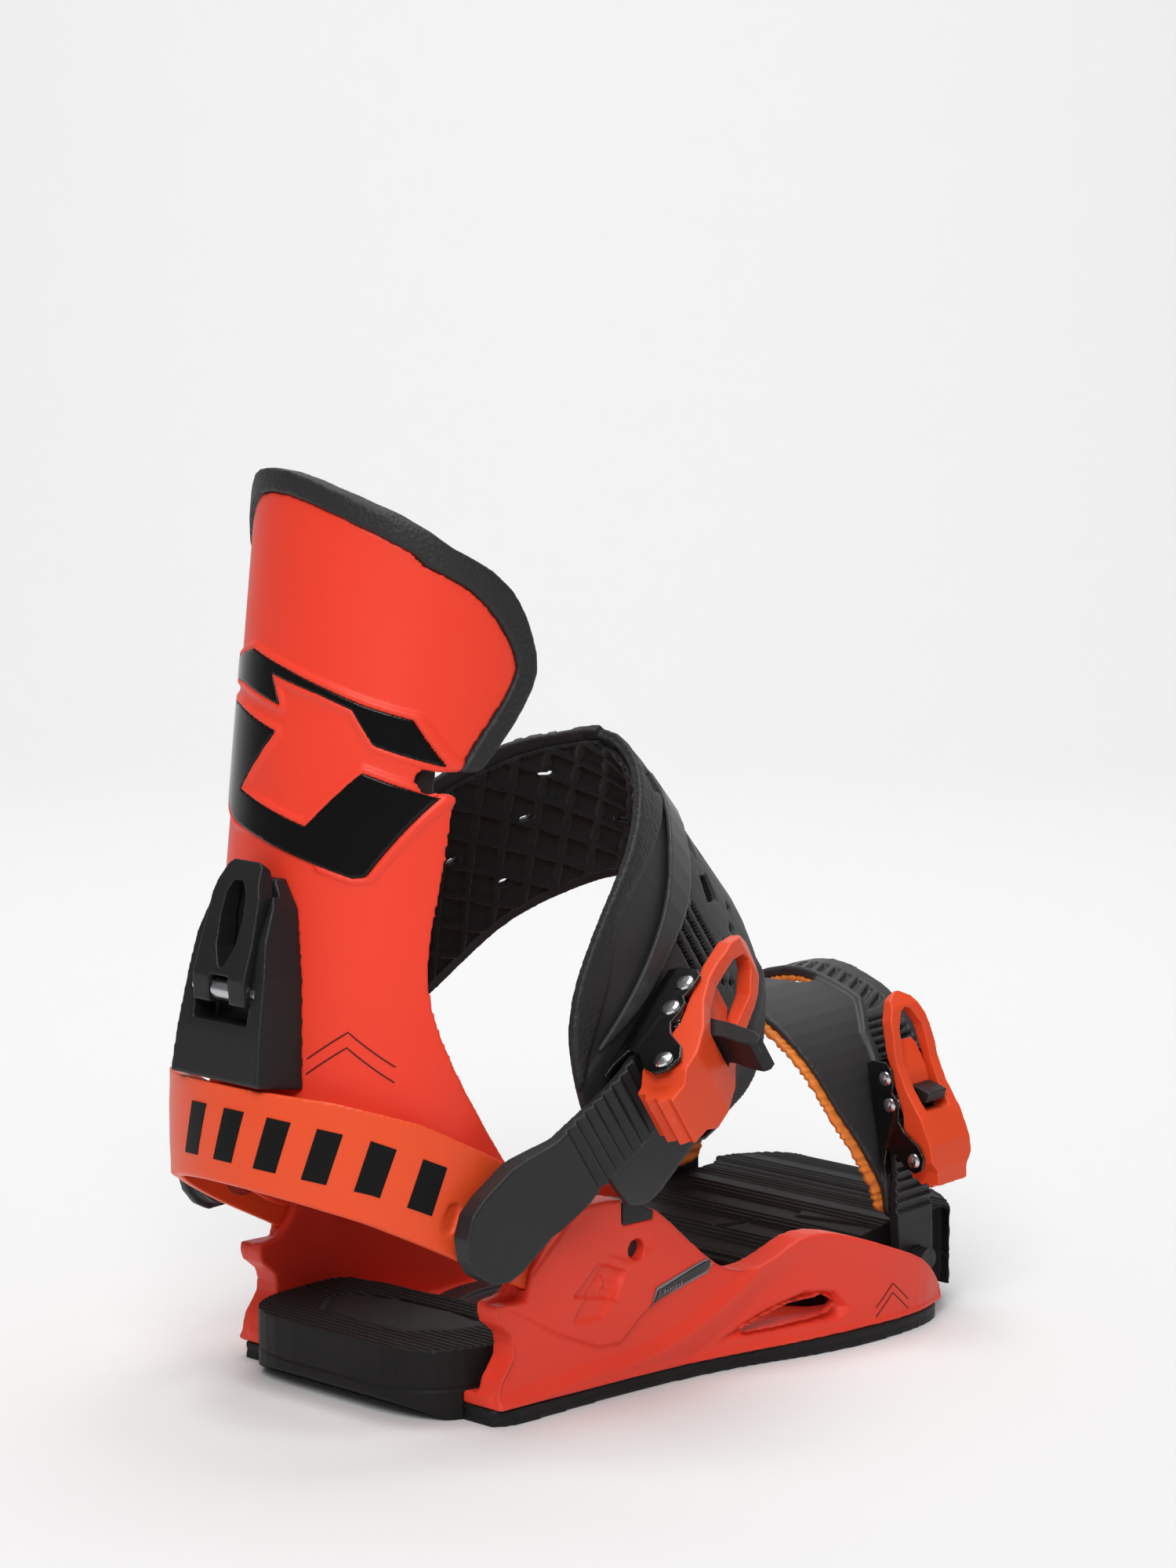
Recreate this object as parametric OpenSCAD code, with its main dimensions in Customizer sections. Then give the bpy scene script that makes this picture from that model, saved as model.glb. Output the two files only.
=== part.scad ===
// Snowboard strap binding for a right foot.
// X runs towards the toe, Y towards the medial side, Z up from the board.
// The origin is the centre of the mounting disc on the board's surface.

/* [Base] */
// Thickness of the rubber sole under the base
sole_t = 5; // [4:0.5:6]
// Thickness of the baseplate floor
floor_t = 4; // [3.5:0.5:5]
// Half the clear width between the heel walls
wall_in = 49; // [48.8:0.1:49.4]
// Half the outer width over the heel walls
wall_out = 59; // [58.6:0.1:59.2]
// Radius of the mounting disc's lower body
disc_r = 40; // [38:0.5:41]
// Distance between neighbouring board screw holes
hole_pitch = 40; // [38:0.5:42]
// Radius of a board screw hole
hole_r = 3.3; // [3:0.1:3.6]

/* [Highback] */
// Forward lean of the highback from vertical, in degrees
lean = 6.6; // [5:0.1:8]
// Outer radius of the highback shell
shell_r = 48.7; // [48.3:0.1:48.8]
// Wall thickness of the highback shell
shell_t = 3.5; // [3:0.1:4]
// Width of the rubber rim round the top
rim_w = 7; // [5:0.5:9]

/* [Heel loop] */
// Outer radius of the heel loop
loop_r = 56.7; // [56.5:0.1:56.8]
// Thickness of the heel loop band
loop_t = 4; // [3.5:0.1:4]

/* [Ankle strap] */
// Slope of the ankle strap's plane above the board, in degrees
ankle_slope = 41; // [39:0.5:43]
// Slope of the ankle ladder, in degrees
ladder_slope = 34; // [33:0.5:36]
// Width of the ankle ladder
ladder_w = 24; // [22:0.5:25]
// Thickness of the ankle strap shell
strap_t = 3; // [2.5:0.1:3.2]
// Thickness of the soft ankle liner
liner_t = 2.2; // [1.8:0.1:2.2]

/* [Toe strap] */
// Slope of the toe strap's plane above the board, in degrees
toe_slope = 94; // [92:0.5:96]
// Size of the toe buckle against the ankle buckle
toe_scale = 0.78; // [0.76:0.01:0.8]

/* [Hidden] */
$fn = 64;

orange = "orangered";
black = [0.06, 0.06, 0.07];
rubber = [0.12, 0.12, 0.12];
steel = "silver";

far = 400;
eps = 0.01;
floor_top = sole_t + floor_t;
run = 0.05;

// Places of the four kinds of pivot
ankle_pivot = [-92, 0, 60];
highback_pivot = [-72, 0, 58];
toe_pivot = [99, 0, 20];
highback_foot = [-95.6, 0, 0];
ankle_pin_r = 4;
highback_pin_r = 3.5;
toe_pin_r = 3.5;

// ---------- curve helpers ----------

function blend4(a, b, c, d, t) =
    0.5 * (2 * b + (c - a) * t + (2 * a - 5 * b + 4 * c - d) * t * t
    + (3 * b - a - 3 * c + d) * t * t * t);

// Smooth closed outline through the given corners
function smooth(p, n = 4) = [for (i = [0:len(p) - 1], k = [0:n - 1])
    blend4(p[(i + len(p) - 1) % len(p)], p[i], p[(i + 1) % len(p)], p[(i + 2) % len(p)], k / n)];

// Smooth open path through the given points
function flow(p, n = 4) = concat([for (i = [0:len(p) - 2], k = [0:n - 1])
    blend4(p[max(i - 1, 0)], p[i], p[i + 1], p[min(i + 2, len(p) - 1)], k / n)], [p[len(p) - 1]]);

// A path and its mirror image across the first axis, joined at the crest
function arch(half) = concat(half, [for (i = [len(half) - 2:-1:0]) [half[i][0], -half[i][1]]]);

function side_normal(p, i) =
    let (a = p[max(i - 1, 0)], b = p[min(i + 1, len(p) - 1)], d = (b - a) / norm(b - a))
    [d[1], -d[0]];

// Closed band between two offsets of a path
function band(p, near, away) = concat(
    [for (i = [0:len(p) - 1]) p[i] + away * side_normal(p, i)],
    [for (i = [len(p) - 1:-1:0]) p[i] + near * side_normal(p, i)]);

// Straight-line height of a path at a given first coordinate
function height_at(p, s, i = 0) = i >= len(p) - 2 || s <= p[i + 1][0]
    ? p[i][1] + (p[i + 1][1] - p[i][1]) * (s - p[i][0]) / (p[i + 1][0] - p[i][0])
    : height_at(p, s, i + 1);

// ---------- placing helpers ----------

// A profile in X and Z, made solid between two Y values
module across(y0, y1) {
    translate([0, y1, 0]) rotate([90, 0, 0]) linear_extrude(y1 - y0) children();
}

// A profile in Y and Z, made solid between two X values
module along(x0, x1) {
    translate([x0, 0, 0]) rotate([90, 0, 90]) linear_extrude(x1 - x0) children();
}

module upward(z0, z1) {
    translate([0, 0, z0]) linear_extrude(z1 - z0) children();
}

module rod_y(r, y0, y1) {
    translate([0, y0, 0]) rotate([-90, 0, 0]) cylinder(r = r, h = y1 - y0);
}

module both_sides() {
    children();
    mirror([0, 1, 0]) children();
}

module in_highback() {
    translate(highback_foot) rotate([0, lean, 0]) children();
}

module in_ankle_strap() {
    translate(ankle_pivot) rotate([0, -ankle_slope, 0]) children();
}

module in_ankle_ladder() {
    translate(ankle_pivot) rotate([0, -ladder_slope, 0]) children();
}

module in_toe_strap() {
    translate(toe_pivot) rotate([0, -toe_slope, 0]) children();
}

// ---------- base ----------

base_rear = -88;
foot_half = [[base_rear, 56], [-80, 59.5], [-45, 57.5], [-13, 57.5], [14, 60], [40, 65.5],
    [62, 67.5], [84, 66], [100, 61.5], [108, 54], [109, 40]];

module base_plan(grow = 0) {
    half = flow(foot_half, 3);
    polygon(concat([for (p = half) [p[0], p[1] + grow]],
        [for (i = [len(half) - 1:-1:0]) [half[i][0], -half[i][1] - grow]]));
}

disc_flange_r = disc_r + 6;
disc_seat_z = floor_top - 2;
disc_gap = 0.3;

module sole_dampener() color(rubber) difference() {
    upward(0, sole_t) base_plan();
    translate([0, 0, -eps]) cylinder(r = disc_r + 2, h = sole_t + 2 * eps);
}

// Side view of a wall, from the heel wing over the saddle to the toe wing and nose
wall_side = [[-87.5, 8], [-86, 14], [-81.5, 20], [-82, 27], [-87, 31], [-87.5, 37],
    [-80, 38], [-75, 44], [-69, 55], [-62, 60], [-50, 61.5], [-34, 60.5], [-22, 55], [-10, 45],
    [2, 35], [13, 31], [24, 33.5], [34, 38], [44, 38.5], [58, 35], [76, 28.5], [92, 22],
    [101, 15], [106, 10], [108, sole_t]];
wall_inner = [[base_rear - 2, wall_in], [-20, wall_in], [10, 51.5], [40, 56.5], [75, 58.5],
    [100, 57.2], [110, 56.5]];
wall_outer = [[base_rear - 2, wall_out], [-20, wall_out], [10, 61.5], [40, 65.5], [70, 67],
    [90, 65], [102, 61], [110, 57.5]];
seam_low = [-76, 36.5];
seam_mid = [-74, 45];
seam_top = [-61, 64];
pocket_in = loop_r - loop_t - 0.1;
pocket_out = loop_r + 0.2;
window_side = [[8, 11.5], [26, 11.5], [43, 12.5], [45, 15.5], [40, 18.5], [30, 18]];
recess_side = [[-58, 26], [-45, 26], [-36, 38], [-43, 43]];
wing_hole = [-30.5, 0, 44.5];
wing_hole_r = 3.3;
notch_x = [-37, -24];
notch_z = 53;
loop_screw = [-54, 0, 48];
loop_screw_r = 2.5;

module wall() {
    difference() {
        intersection() {
            upward(sole_t, far) polygon(concat(flow(wall_outer, 3),
                [for (i = [len(wall_inner) - 1:-1:0]) wall_inner[i]]));
            across(0, far) polygon(concat([[base_rear, sole_t]], flow(wall_side, 2)));
        }
        // pocket that takes the end of the heel loop
        intersection() {
            across(pocket_in, pocket_out) polygon(loop_side(0.15));
            translate([-far - 45, 0, 0]) cube([far, far, far]);
        }
        // the outer skin starts at a slanted seam
        across(pocket_in, far) polygon([seam_low, seam_mid, seam_top, [-61, 90], [-120, 90],
            [-120, 36.5]]);
        across(0, far) polygon(window_side);
        across(wall_out - 1.2, far) polygon(recess_side);
        translate(wing_hole) rod_y(wing_hole_r, 0, far);
        translate([notch_x[0], 0, notch_z]) cube([notch_x[1] - notch_x[0], far, far]);
        translate(loop_screw) rod_y(loop_screw_r + run, 0, wall_out - 1.5);
        translate(highback_pivot) rod_y(highback_pin_r + run, 0, wall_in + 3);
        translate(toe_pivot) rod_y(toe_pin_r + run, 0, toe_bolt_end + 0.1);
    }
}

module baseplate() color(orange) {
    difference() {
        upward(sole_t, floor_top) intersection() {
            base_plan(-1);
            translate([base_rear, -far]) square([-base_rear + 109, 2 * far]);
        }
        translate([0, 0, sole_t - eps]) cylinder(r = disc_r + disc_gap, h = floor_t);
        translate([0, 0, disc_seat_z]) cylinder(r = disc_flange_r + disc_gap, h = floor_t);
    }
    both_sides() wall();
}

module wing_insert(side) color(black) {
    difference() {
        translate([notch_x[0] + 0.1, side > 0 ? wall_in + 0.5 : -wall_out, notch_z])
            cube([notch_x[1] - notch_x[0] - 0.2, wall_out - wall_in - 0.5, 7]);
        across(-far, far) polygon([[-45, 61.4], [-34, 60.3], [-22, 54.8], [-22, 90], [-45, 90]]);
    }
}

module wing_insert_lateral() wing_insert(-1);
module wing_insert_medial() wing_insert(1);

module wing_plugs() color(black) {
    both_sides() translate(wing_hole) rod_y(wing_hole_r, wall_in + 1, wall_out - 4);
}

// ---------- footbed and disc ----------

heel_top = 22;
heel_plan = [[-104, 0], [-103.5, 24], [-99, 37], [-88, 44.5], [-70, 47.5], [-57, 47.5],
    [-53, 40], [-50.5, 20], [-49.5, 0]];

module heel_pad() color(rubber) {
    half = flow(heel_plan, 3);
    difference() {
        upward(0.6, heel_top) polygon(concat(half,
            [for (i = [len(half) - 2:-1:1]) [half[i][0], -half[i][1]]]));
        translate([base_rear - 0.2, -far, -eps]) cube([far, 2 * far, floor_top + eps]);
        // the underside behind the base rises towards the rear
        across(-far, far) polygon([[-106, 0], [-92, 0], [-106, 7]]);
    }
}

toe_joint = 112;
toe_bed_side = [[50, floor_top], [toe_joint, floor_top], [toe_joint, 32.5], [95, 31.5],
    [78, 28.5], [62, 25], [54, 23], [50, 20]];
tongue_half = 26;
tongue_top = 12;
tongue_rear = 74;

module toe_pad() color(rubber) {
    difference() {
        intersection() {
            across(-48, 48) polygon(toe_bed_side);
            upward(0, far) polygon([[49, -30], [53, -40], [58, -46.5], [64, -48], [toe_joint, -48],
                [toe_joint, 48], [64, 48], [58, 46.5], [53, 40], [49, 30]]);
        }
        translate([tongue_rear - 0.4, -tongue_half - 0.3, 0])
            cube([far, 2 * tongue_half + 0.6, tongue_top + 0.3]);
    }
}

ramp_travel = 12;
ramp_ear = 116.5;
ramp_neck_half = 49.5;
ramp_plan = [[ramp_ear, -54], [122, -48], [129, -37], [135, -21], [139.5, -2], [142, 14],
    [141, 27], [136, 39], [128, 47], [ramp_ear, 53]];
ramp_side = [[toe_joint + 0.4, 10], [118, 7], [128, 9], [138, 15], [143, 24], [143, 31],
    [138, 34], [124, 33.8], [toe_joint + 0.4, 32.7]];

module toe_ramp() color(rubber) {
    intersection() {
        upward(0, far) polygon(concat([[toe_joint + 0.4, -ramp_neck_half],
            [ramp_ear, -ramp_neck_half]], flow(ramp_plan, 3),
            [[ramp_ear, ramp_neck_half], [toe_joint + 0.4, ramp_neck_half]]));
        across(-far, far) polygon(ramp_side);
    }
    translate([tongue_rear, -tongue_half, floor_top + 0.05])
        cube([toe_joint + 2 - tongue_rear, 2 * tongue_half, tongue_top - floor_top - 0.05]);
}

disc_top = 11;
sink_r = 6.4;
sink_h = 3.4;

module mounting_disc() color(black) difference() {
    union() {
        cylinder(r = disc_r, h = disc_seat_z + eps);
        translate([0, 0, disc_seat_z]) cylinder(r = disc_flange_r, h = disc_top - disc_seat_z);
    }
    translate([0, 0, disc_top - 1.2]) cylinder(r = disc_r - 3, h = 2);
    for (x = [-1, 1], y = [-1, 1]) translate([x, y, 0] * hole_pitch / 2) {
        translate([0, 0, -eps]) cylinder(r = hole_r, h = disc_top);
        translate([0, 0, disc_top - 1.2 - sink_h])
            cylinder(r1 = hole_r, r2 = sink_r, h = sink_h + eps);
    }
}

// ---------- heel loop ----------

function loop_side(grow) = [[-46, 30 - grow], [-72, 38 - grow], [-100, 52 - grow],
    [-125, 65 - grow], [-152, 77 - grow], [-152, 104.5 + grow], [-132, 101 + grow],
    [-112, 94 + grow], [-85, 80 + grow], [-62, 64 + grow], [-46, 52 + grow]];
loop_centre = -90;
loop_front = -46;
spare_slot = [-103, 0, 65];
spare_slot_r = 2.6;

module loop_plan() difference() {
    union() {
        translate([loop_centre, 0]) circle(r = loop_r, $fn = 128);
        translate([loop_centre, -loop_r]) square([loop_front - loop_centre, 2 * loop_r]);
    }
    translate([loop_centre, 0]) circle(r = loop_r - loop_t, $fn = 128);
    translate([loop_centre, -loop_r + loop_t]) square([far, 2 * (loop_r - loop_t)]);
}

module heel_loop() color(orange) difference() {
    intersection() {
        upward(0, 120) loop_plan();
        across(-far, far) polygon(loop_side(0));
    }
    translate(ankle_pivot) rod_y(ankle_pin_r + run, -far, far);
    translate(loop_screw) rod_y(loop_screw_r + run, -far, far);
    // flat seats for the heads of the ankle pivots
    translate(ankle_pivot) rod_y(7.1, -loop_r + loop_t, loop_r - loop_t);
    both_sides() for (dz = [-2:1:2]) translate(spare_slot + [dz / 2, 0, dz]) {
        rod_y(spare_slot_r, loop_r - 2.5, far);
    }
}

// Screws from inside each wall that hold the heel loop
module heel_loop_screws() color(steel) {
    both_sides() translate(loop_screw) {
        rod_y(loop_screw_r, wall_in, wall_out - 1.6);
        rod_y(4.5, wall_in - 1.8, wall_in);
    }
}

washer_in = loop_r + 0.1;
boss_in = 59.6;

module ankle_pivot_bolts() color(steel) {
    both_sides() translate(ankle_pivot) {
        rod_y(ankle_pin_r, loop_r - loop_t - eps, 63.8);
        rod_y(7, loop_r - loop_t - 1.5, loop_r - loop_t);
    }
}

module ankle_pivot_washers() color(black) {
    both_sides() translate(ankle_pivot) difference() {
        rod_y(9, washer_in, boss_in - 0.1);
        rod_y(ankle_pin_r + run, 0, far);
    }
}

ear_in = shell_r - shell_t;

module highback_pivot_bolts() color(steel) {
    both_sides() translate(highback_pivot) {
        rod_y(highback_pin_r, ear_in - 1, wall_in + 2.9);
        rod_y(6, ear_in - 2, ear_in - 0.2);
    }
}

toe_head_in = 48.7;
toe_foot_in = 51.3;
toe_bolt_end = 60.5;

module toe_pivot_bolts() color(steel) {
    both_sides() translate(toe_pivot) {
        rod_y(toe_pin_r, toe_head_in, toe_bolt_end);
        rod_y(6, toe_head_in, toe_foot_in - 0.3);
    }
}

// ---------- highback ----------

// Side outline of the highback, from the back down to the ear and up the edge to the top
hb_side = [[-40, 68], [-14, 60], [4, 51.5], [14, 50], [23.5, 53], [26, 60],
    [22, 69], [12, 78], [-5, 98], [-15.5, 115], [-20.5, 130], [-21, 146], [-19, 166],
    [-18, 187], [-11, 194], [-4, 203], [3, 213], [7.5, 224], [4, 235], [-2, 244], [-11, 252],
    [-24, 258]];
// Outline of the highback seen from behind
hb_back = [[60, 215], [55, 238], [47, 254], [40, 266], [28, 274.5],
    [12, 277], [-7, 274.5], [-30, 266.5], [-44, 257.5], [-50, 246], [-60, 215]];
// Edge of the shell where the rim starts
hb_side_shell = [[-40, 68], [-14, 60], [4, 51.5], [14, 50], [23.5, 53], [26, 60],
    [22, 69], [12, 78], [-5, 98], [-15.5, 115], [-20.5, 130], [-21, 146], [-19, 166],
    [-18, 187], [-18, 192], [-11, 205], [-4.5, 215], [-0.5, 224], [-3.5, 231], [-9, 238],
    [-18, 246], [-30, 252]];
hb_back_shell = [[60, 209], [53, 230], [42, 247], [36, 258], [26, 266.5],
    [12, 270], [-7, 267.5], [-28, 260], [-42, 251], [-50, 239], [-60, 208]];
hb_floor = 189;
lean_slot_z = [118, 140];
lean_slot_half = 3.2;
flex_slot = [-25, 190];

// Half ring with straight legs in front
module hoop(r_in, r_out) {
    difference() {
        union() {
            cylinder(r = r_out, h = 300, $fn = 128);
            translate([0, -r_out, 0]) cube([40, 2 * r_out, 300]);
        }
        translate([0, 0, -eps]) cylinder(r = r_in, h = 301, $fn = 128);
        translate([0, -r_in, -eps]) cube([41, 2 * r_in, 301]);
    }
}

// Space inside a side outline and an outline seen from behind, both open paths
module hb_outline(side, back) {
    intersection() {
        across(-70, 70) polygon(concat([[-70, 70]], flow(side, 2), [[-70, 300]]));
        along(-70, 60) polygon(concat([[-60, 40], [60, 40]], flow(back, 2)));
    }
}

module highback_shell() color(orange) in_highback() difference() {
    intersection() {
        hoop(shell_r - shell_t, shell_r);
        hb_outline(hb_side_shell, hb_back_shell);
    }
    // slot of the clamp screw
    translate([-60, -lean_slot_half, lean_slot_z[0]])
        cube([30, 2 * lean_slot_half, lean_slot_z[1] - lean_slot_z[0]]);
    for (z = lean_slot_z) translate([-60, 0, z]) rotate([0, 90, 0])
        cylinder(r = lean_slot_half, h = 30);
    // flex slots with a round end, one on each side
    both_sides() {
        translate([flex_slot[0], 0, flex_slot[1]]) rod_y(3.6, 20, 70);
        across(20, 70) polygon([[-25, 186.4], [0, 184.4], [0, 195.4], [-25, 193.6]]);
    }
    pivot_bore();
}

module pivot_bore() {
    rotate([0, -lean, 0]) translate(highback_pivot - highback_foot)
        rod_y(highback_pin_r + run, -70, 70);
}

module highback_rim() color(rubber) in_highback() difference() {
    intersection() {
        hoop(shell_r - shell_t - 1.6, shell_r + 1.3);
        hb_outline(hb_side, hb_back);
        translate([-70, -70, hb_floor + 4.5]) cube([140, 140, 140]);
    }
    hb_outline(hb_side_shell, hb_back_shell);
}

pad_t = 3;

module highback_pad() color(rubber) in_highback() intersection() {
    hoop(shell_r - shell_t - pad_t, shell_r - shell_t);
    translate([-60, 0, 0]) cube([104, 200, 800], center = true);
    along(-70, -14) polygon(smooth([[-33, 168], [0, 160], [33, 168], [38, 210], [34, 245],
        [12, 260], [-12, 258], [-32, 246], [-38, 210]]));
}

upper_outline = [[35, 219], [15, 223.5], [-2, 219], [-16.5, 214.5], [-28, 210.5], [-38.5, 207.5],
    [-44.5, 194.5], [-38.5, 196.6], [-31, 199.2], [-25, 209], [-15, 212.5], [3.5, 217],
    [-1, 208], [20, 213.2], [35, 214]];
lower_outline = [[35, 207.5], [21.5, 206], [0, 200.3], [16.5, 181.8], [-14, 173.7],
    [-28.8, 191], [-43.8, 185.5], [-31.5, 161], [-28.5, 160.3], [-15, 164], [3, 168.6],
    [19, 172.3], [35, 179]];
inlay_t = 1;

module inlay(outline) color(black) in_highback() intersection() {
    difference() {
        cylinder(r = shell_r + inlay_t, h = 300, $fn = 128);
        translate([0, 0, -eps]) cylinder(r = shell_r + 0.02, h = 301, $fn = 128);
    }
    along(-70, -8) polygon(outline);
}

module upper_inlay() inlay(upper_outline);
module lower_inlay() inlay(lower_outline);

// ---------- forward lean adjuster ----------

block_side = [[-40, 97], [-62.6, 98], [-62.4, 112], [-60, 140], [-55.5, 154], [-52, 158],
    [-40, 158]];
block_back = [[-20, 95], [20, 95], [17, 130], [14, 150], [9, 158], [-9, 158], [-14, 150],
    [-17, 130]];
lean_axis = [-59.5, 124.5];
lean_pin_r = 2;
lever_half = 11.5;
clamp_r = 2.5;

module lean_block() color(black) in_highback() difference() {
    intersection() {
        across(-30, 30) polygon(block_side);
        along(-70, -30) polygon(block_back);
    }
    translate([0, 0, 90]) cylinder(r = shell_r + 0.3, h = 80, $fn = 128);
    // channel that the lever folds into
    translate([-80, -lever_half - 0.5, 115]) cube([27, 2 * lever_half + 1, 60]);
    translate([-80, 0, lean_axis[1]]) rotate([0, 90, 0]) cylinder(r = clamp_r + run, h = 40);
    translate([lean_axis[0], 0, lean_axis[1]]) rod_y(lean_pin_r + run, -14, 14);
}

module lean_lever_pin() color(steel) in_highback() {
    translate([lean_axis[0], 0, lean_axis[1]]) {
        rod_y(lean_pin_r, -14, 14);
        rod_y(3.4, -4, 4);
    }
}

module lean_clamp_screw() color(steel) in_highback() {
    translate([-56, 0, lean_axis[1]]) rotate([0, 90, 0]) cylinder(r = clamp_r, h = 12.2);
}

module lean_nut_plate() color(steel) in_highback() difference() {
    translate([-44.3, -6, lean_axis[1] - 10]) cube([2, 12, 20]);
    translate([-44.8, 0, lean_axis[1]]) rotate([0, 90, 0]) cylinder(r = clamp_r + eps, h = 4);
}

lever_side = [[-63, 120.5], [-57.5, 120], [-55.6, 124], [-54.2, 140], [-53.2, 160],
    [-56, 162.5], [-59, 156], [-61.5, 140], [-64, 128]];
lever_back = [[-11.5, 119], [11.5, 119], [11.5, 138], [10.5, 152], [7.5, 161], [4, 163.5],
    [-4, 163.5], [-7.5, 161], [-10.5, 152], [-11.5, 138]];
drop_back = [[-1, 131], [1, 131], [4, 137], [5, 146], [4.2, 153], [2, 156.5], [-2, 156.5],
    [-4.2, 153], [-5, 146], [-4, 137]];

module lean_lever() color(black) in_highback() difference() {
    intersection() {
        across(-lever_half, lever_half) polygon(lever_side);
        along(-70, -30) polygon(lever_back);
    }
    along(-70, -30) polygon(drop_back);
    translate([-70, -4.4, 110]) cube([40, 8.8, 18.6]);
    translate([lean_axis[0], 0, lean_axis[1]]) rod_y(lean_pin_r + run, -14, 14);
}

// ---------- ratchet buckle, drawn flat: X along the ladder, Z away from the strap ----------

lever_axis = [3.5, 19];
stop_axis = [26.5, 10];
pawl_axis = [37.5, 9.6];
rivet_r = 2;
plate_in = 13;
plate_t = 1.2;
frame_side = [[-3, 0.4], [44, 0.4], [45, 4], [44, 11], [41, 13.6], [35, 13.4], [31.5, 12.2],
    [29, 14.2], [24.5, 14.4], [20, 13.4], [15, 16], [9.5, 22.5], [4.5, 24.6], [-0.5, 22.6],
    [-2, 18.5], [0.5, 13.5], [6, 9], [8, 4.5], [2, 2.2], [-3, 1.6]];
base_t = 1.2;

module buckle_frame() color(black) difference() {
    union() {
        for (y = [-plate_in - plate_t, plate_in]) across(y, y + plate_t) polygon(frame_side);
        translate([-3, -plate_in - eps, 0.4]) cube([47, 2 * plate_in + 2 * eps, base_t]);
    }
    for (a = [lever_axis, stop_axis, pawl_axis]) translate([a[0], 0, a[1]])
        rod_y(rivet_r + eps, -20, 20);
}

dome_r = 3.1;
dome_h = 1.3;

module buckle_rivets() color(steel) {
    for (a = [lever_axis, stop_axis, pawl_axis]) translate([a[0], 0, a[1]]) {
        rod_y(rivet_r, -plate_in - plate_t - 0.2, plate_in + plate_t + 0.2);
        both_sides() translate([0, plate_in + plate_t, 0]) rotate([-90, 0, 0])
            rotate_extrude() polygon([[0, 0], [dome_r, 0], [dome_r * 0.92, dome_h * 0.45],
                [dome_r * 0.65, dome_h * 0.82], [0, dome_h]]);
    }
}

// Side outline of the ratchet lever: drive teeth, outer face, loop end, inner face
ratchet_side = [[-5.1, 11.2], [-5.3, 14], [-7.9, 15.3], [-7, 18.6], [-9.2, 20.6], [-7.4, 23.4],
    [-8.3, 25.5], [-1, 27], [9, 27.4], [20, 24.5], [32, 18.6], [42, 15.8], [55, 15],
    [65, 13.2], [71.5, 9], [69.5, 7.2], [58, 8.8], [45, 10.6], [37.5, 11.9], [29, 13.4],
    [22, 14.6], [14, 13.4], [7, 11.6], [1, 11]];
ratchet_face = [[-12, -8.5], [-2, -8.8], [2, -12], [30, -12.3], [48, -12.3], [60, -10.5],
    [68, -6.5], [72, 0], [68, 6.5], [60, 10.5], [48, 12.3], [30, 12.3], [2, 12], [-2, 8.8],
    [-12, 8.5]];
ratchet_window = [[22.5, -6.8], [44, -7.6], [56, -6.8], [63, -3], [64.5, 0], [63, 3],
    [56, 6.8], [44, 7.6], [22.5, 6.8]];

module ratchet_lever() color(orange) difference() {
    intersection() {
        across(-12.4, 12.4) polygon(ratchet_side);
        upward(0, 40) polygon(ratchet_face);
    }
    upward(0, 40) polygon(ratchet_window);
    translate([lever_axis[0], 0, lever_axis[1]]) rod_y(rivet_r + run, -20, 20);
}

pawl_half = 6;
pawl_side = [[29.6, 6.7], [31, 8], [32.4, 6.7], [33.8, 8], [36, 7], [40, 7.1], [44, 6.4],
    [48.6, 4.6], [48, 7.2], [51, 8], [48.5, 10.4], [43, 12.8], [38, 14.5], [33, 15],
    [30.5, 13.5]];
tab_long = [[33.5, 14.2], [30, 13.4], [24.2, 16], [23, 26], [20, 34], [19.2, 38], [20.2, 40],
    [22.6, 40.2], [25, 37], [29, 27], [31.5, 18]];
tab_short = [[33.5, 14.2], [30, 13.4], [25, 16], [25.5, 22], [29.5, 24.5], [32, 19]];

module ratchet_pawl() color(orange) difference() {
    across(-pawl_half, pawl_half) polygon(pawl_side);
    translate([pawl_axis[0], 0, pawl_axis[1]]) rod_y(rivet_r + run, -20, 20);
}

module release_tab(side) color(black) difference() {
    across(-pawl_half + 0.5, pawl_half - 0.5) polygon(side);
    across(-20, 20) polygon(pawl_side);
}

// Coil round the stop rivet that presses the pawl onto the ladder
module pawl_spring() color(steel) {
    for (y = [-11.2, -9.2, -7.2, 7.2, 9.2, 11.2]) translate([stop_axis[0], y, stop_axis[1]])
        rotate([90, 0, 0]) rotate_extrude() translate([rivet_r + 0.6, 0]) circle(r = 0.5);
}

ankle_buckle_at = [58, -66.8];
ankle_buckle_tilt = 13;

module at_ankle_buckle() {
    in_ankle_ladder() translate([ankle_buckle_at[0], ankle_buckle_at[1], 0])
        rotate([90, 0, ankle_buckle_tilt]) children();
}

module ankle_buckle_frame() at_ankle_buckle() buckle_frame();
module ankle_buckle_rivets() at_ankle_buckle() buckle_rivets();
module ankle_pawl_spring() at_ankle_buckle() pawl_spring();
module ankle_buckle_lever() at_ankle_buckle() ratchet_lever();
module ankle_buckle_pawl() at_ankle_buckle() ratchet_pawl();
module ankle_release_tab() at_ankle_buckle() release_tab(tab_long);

// ---------- ankle strap ----------

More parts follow.
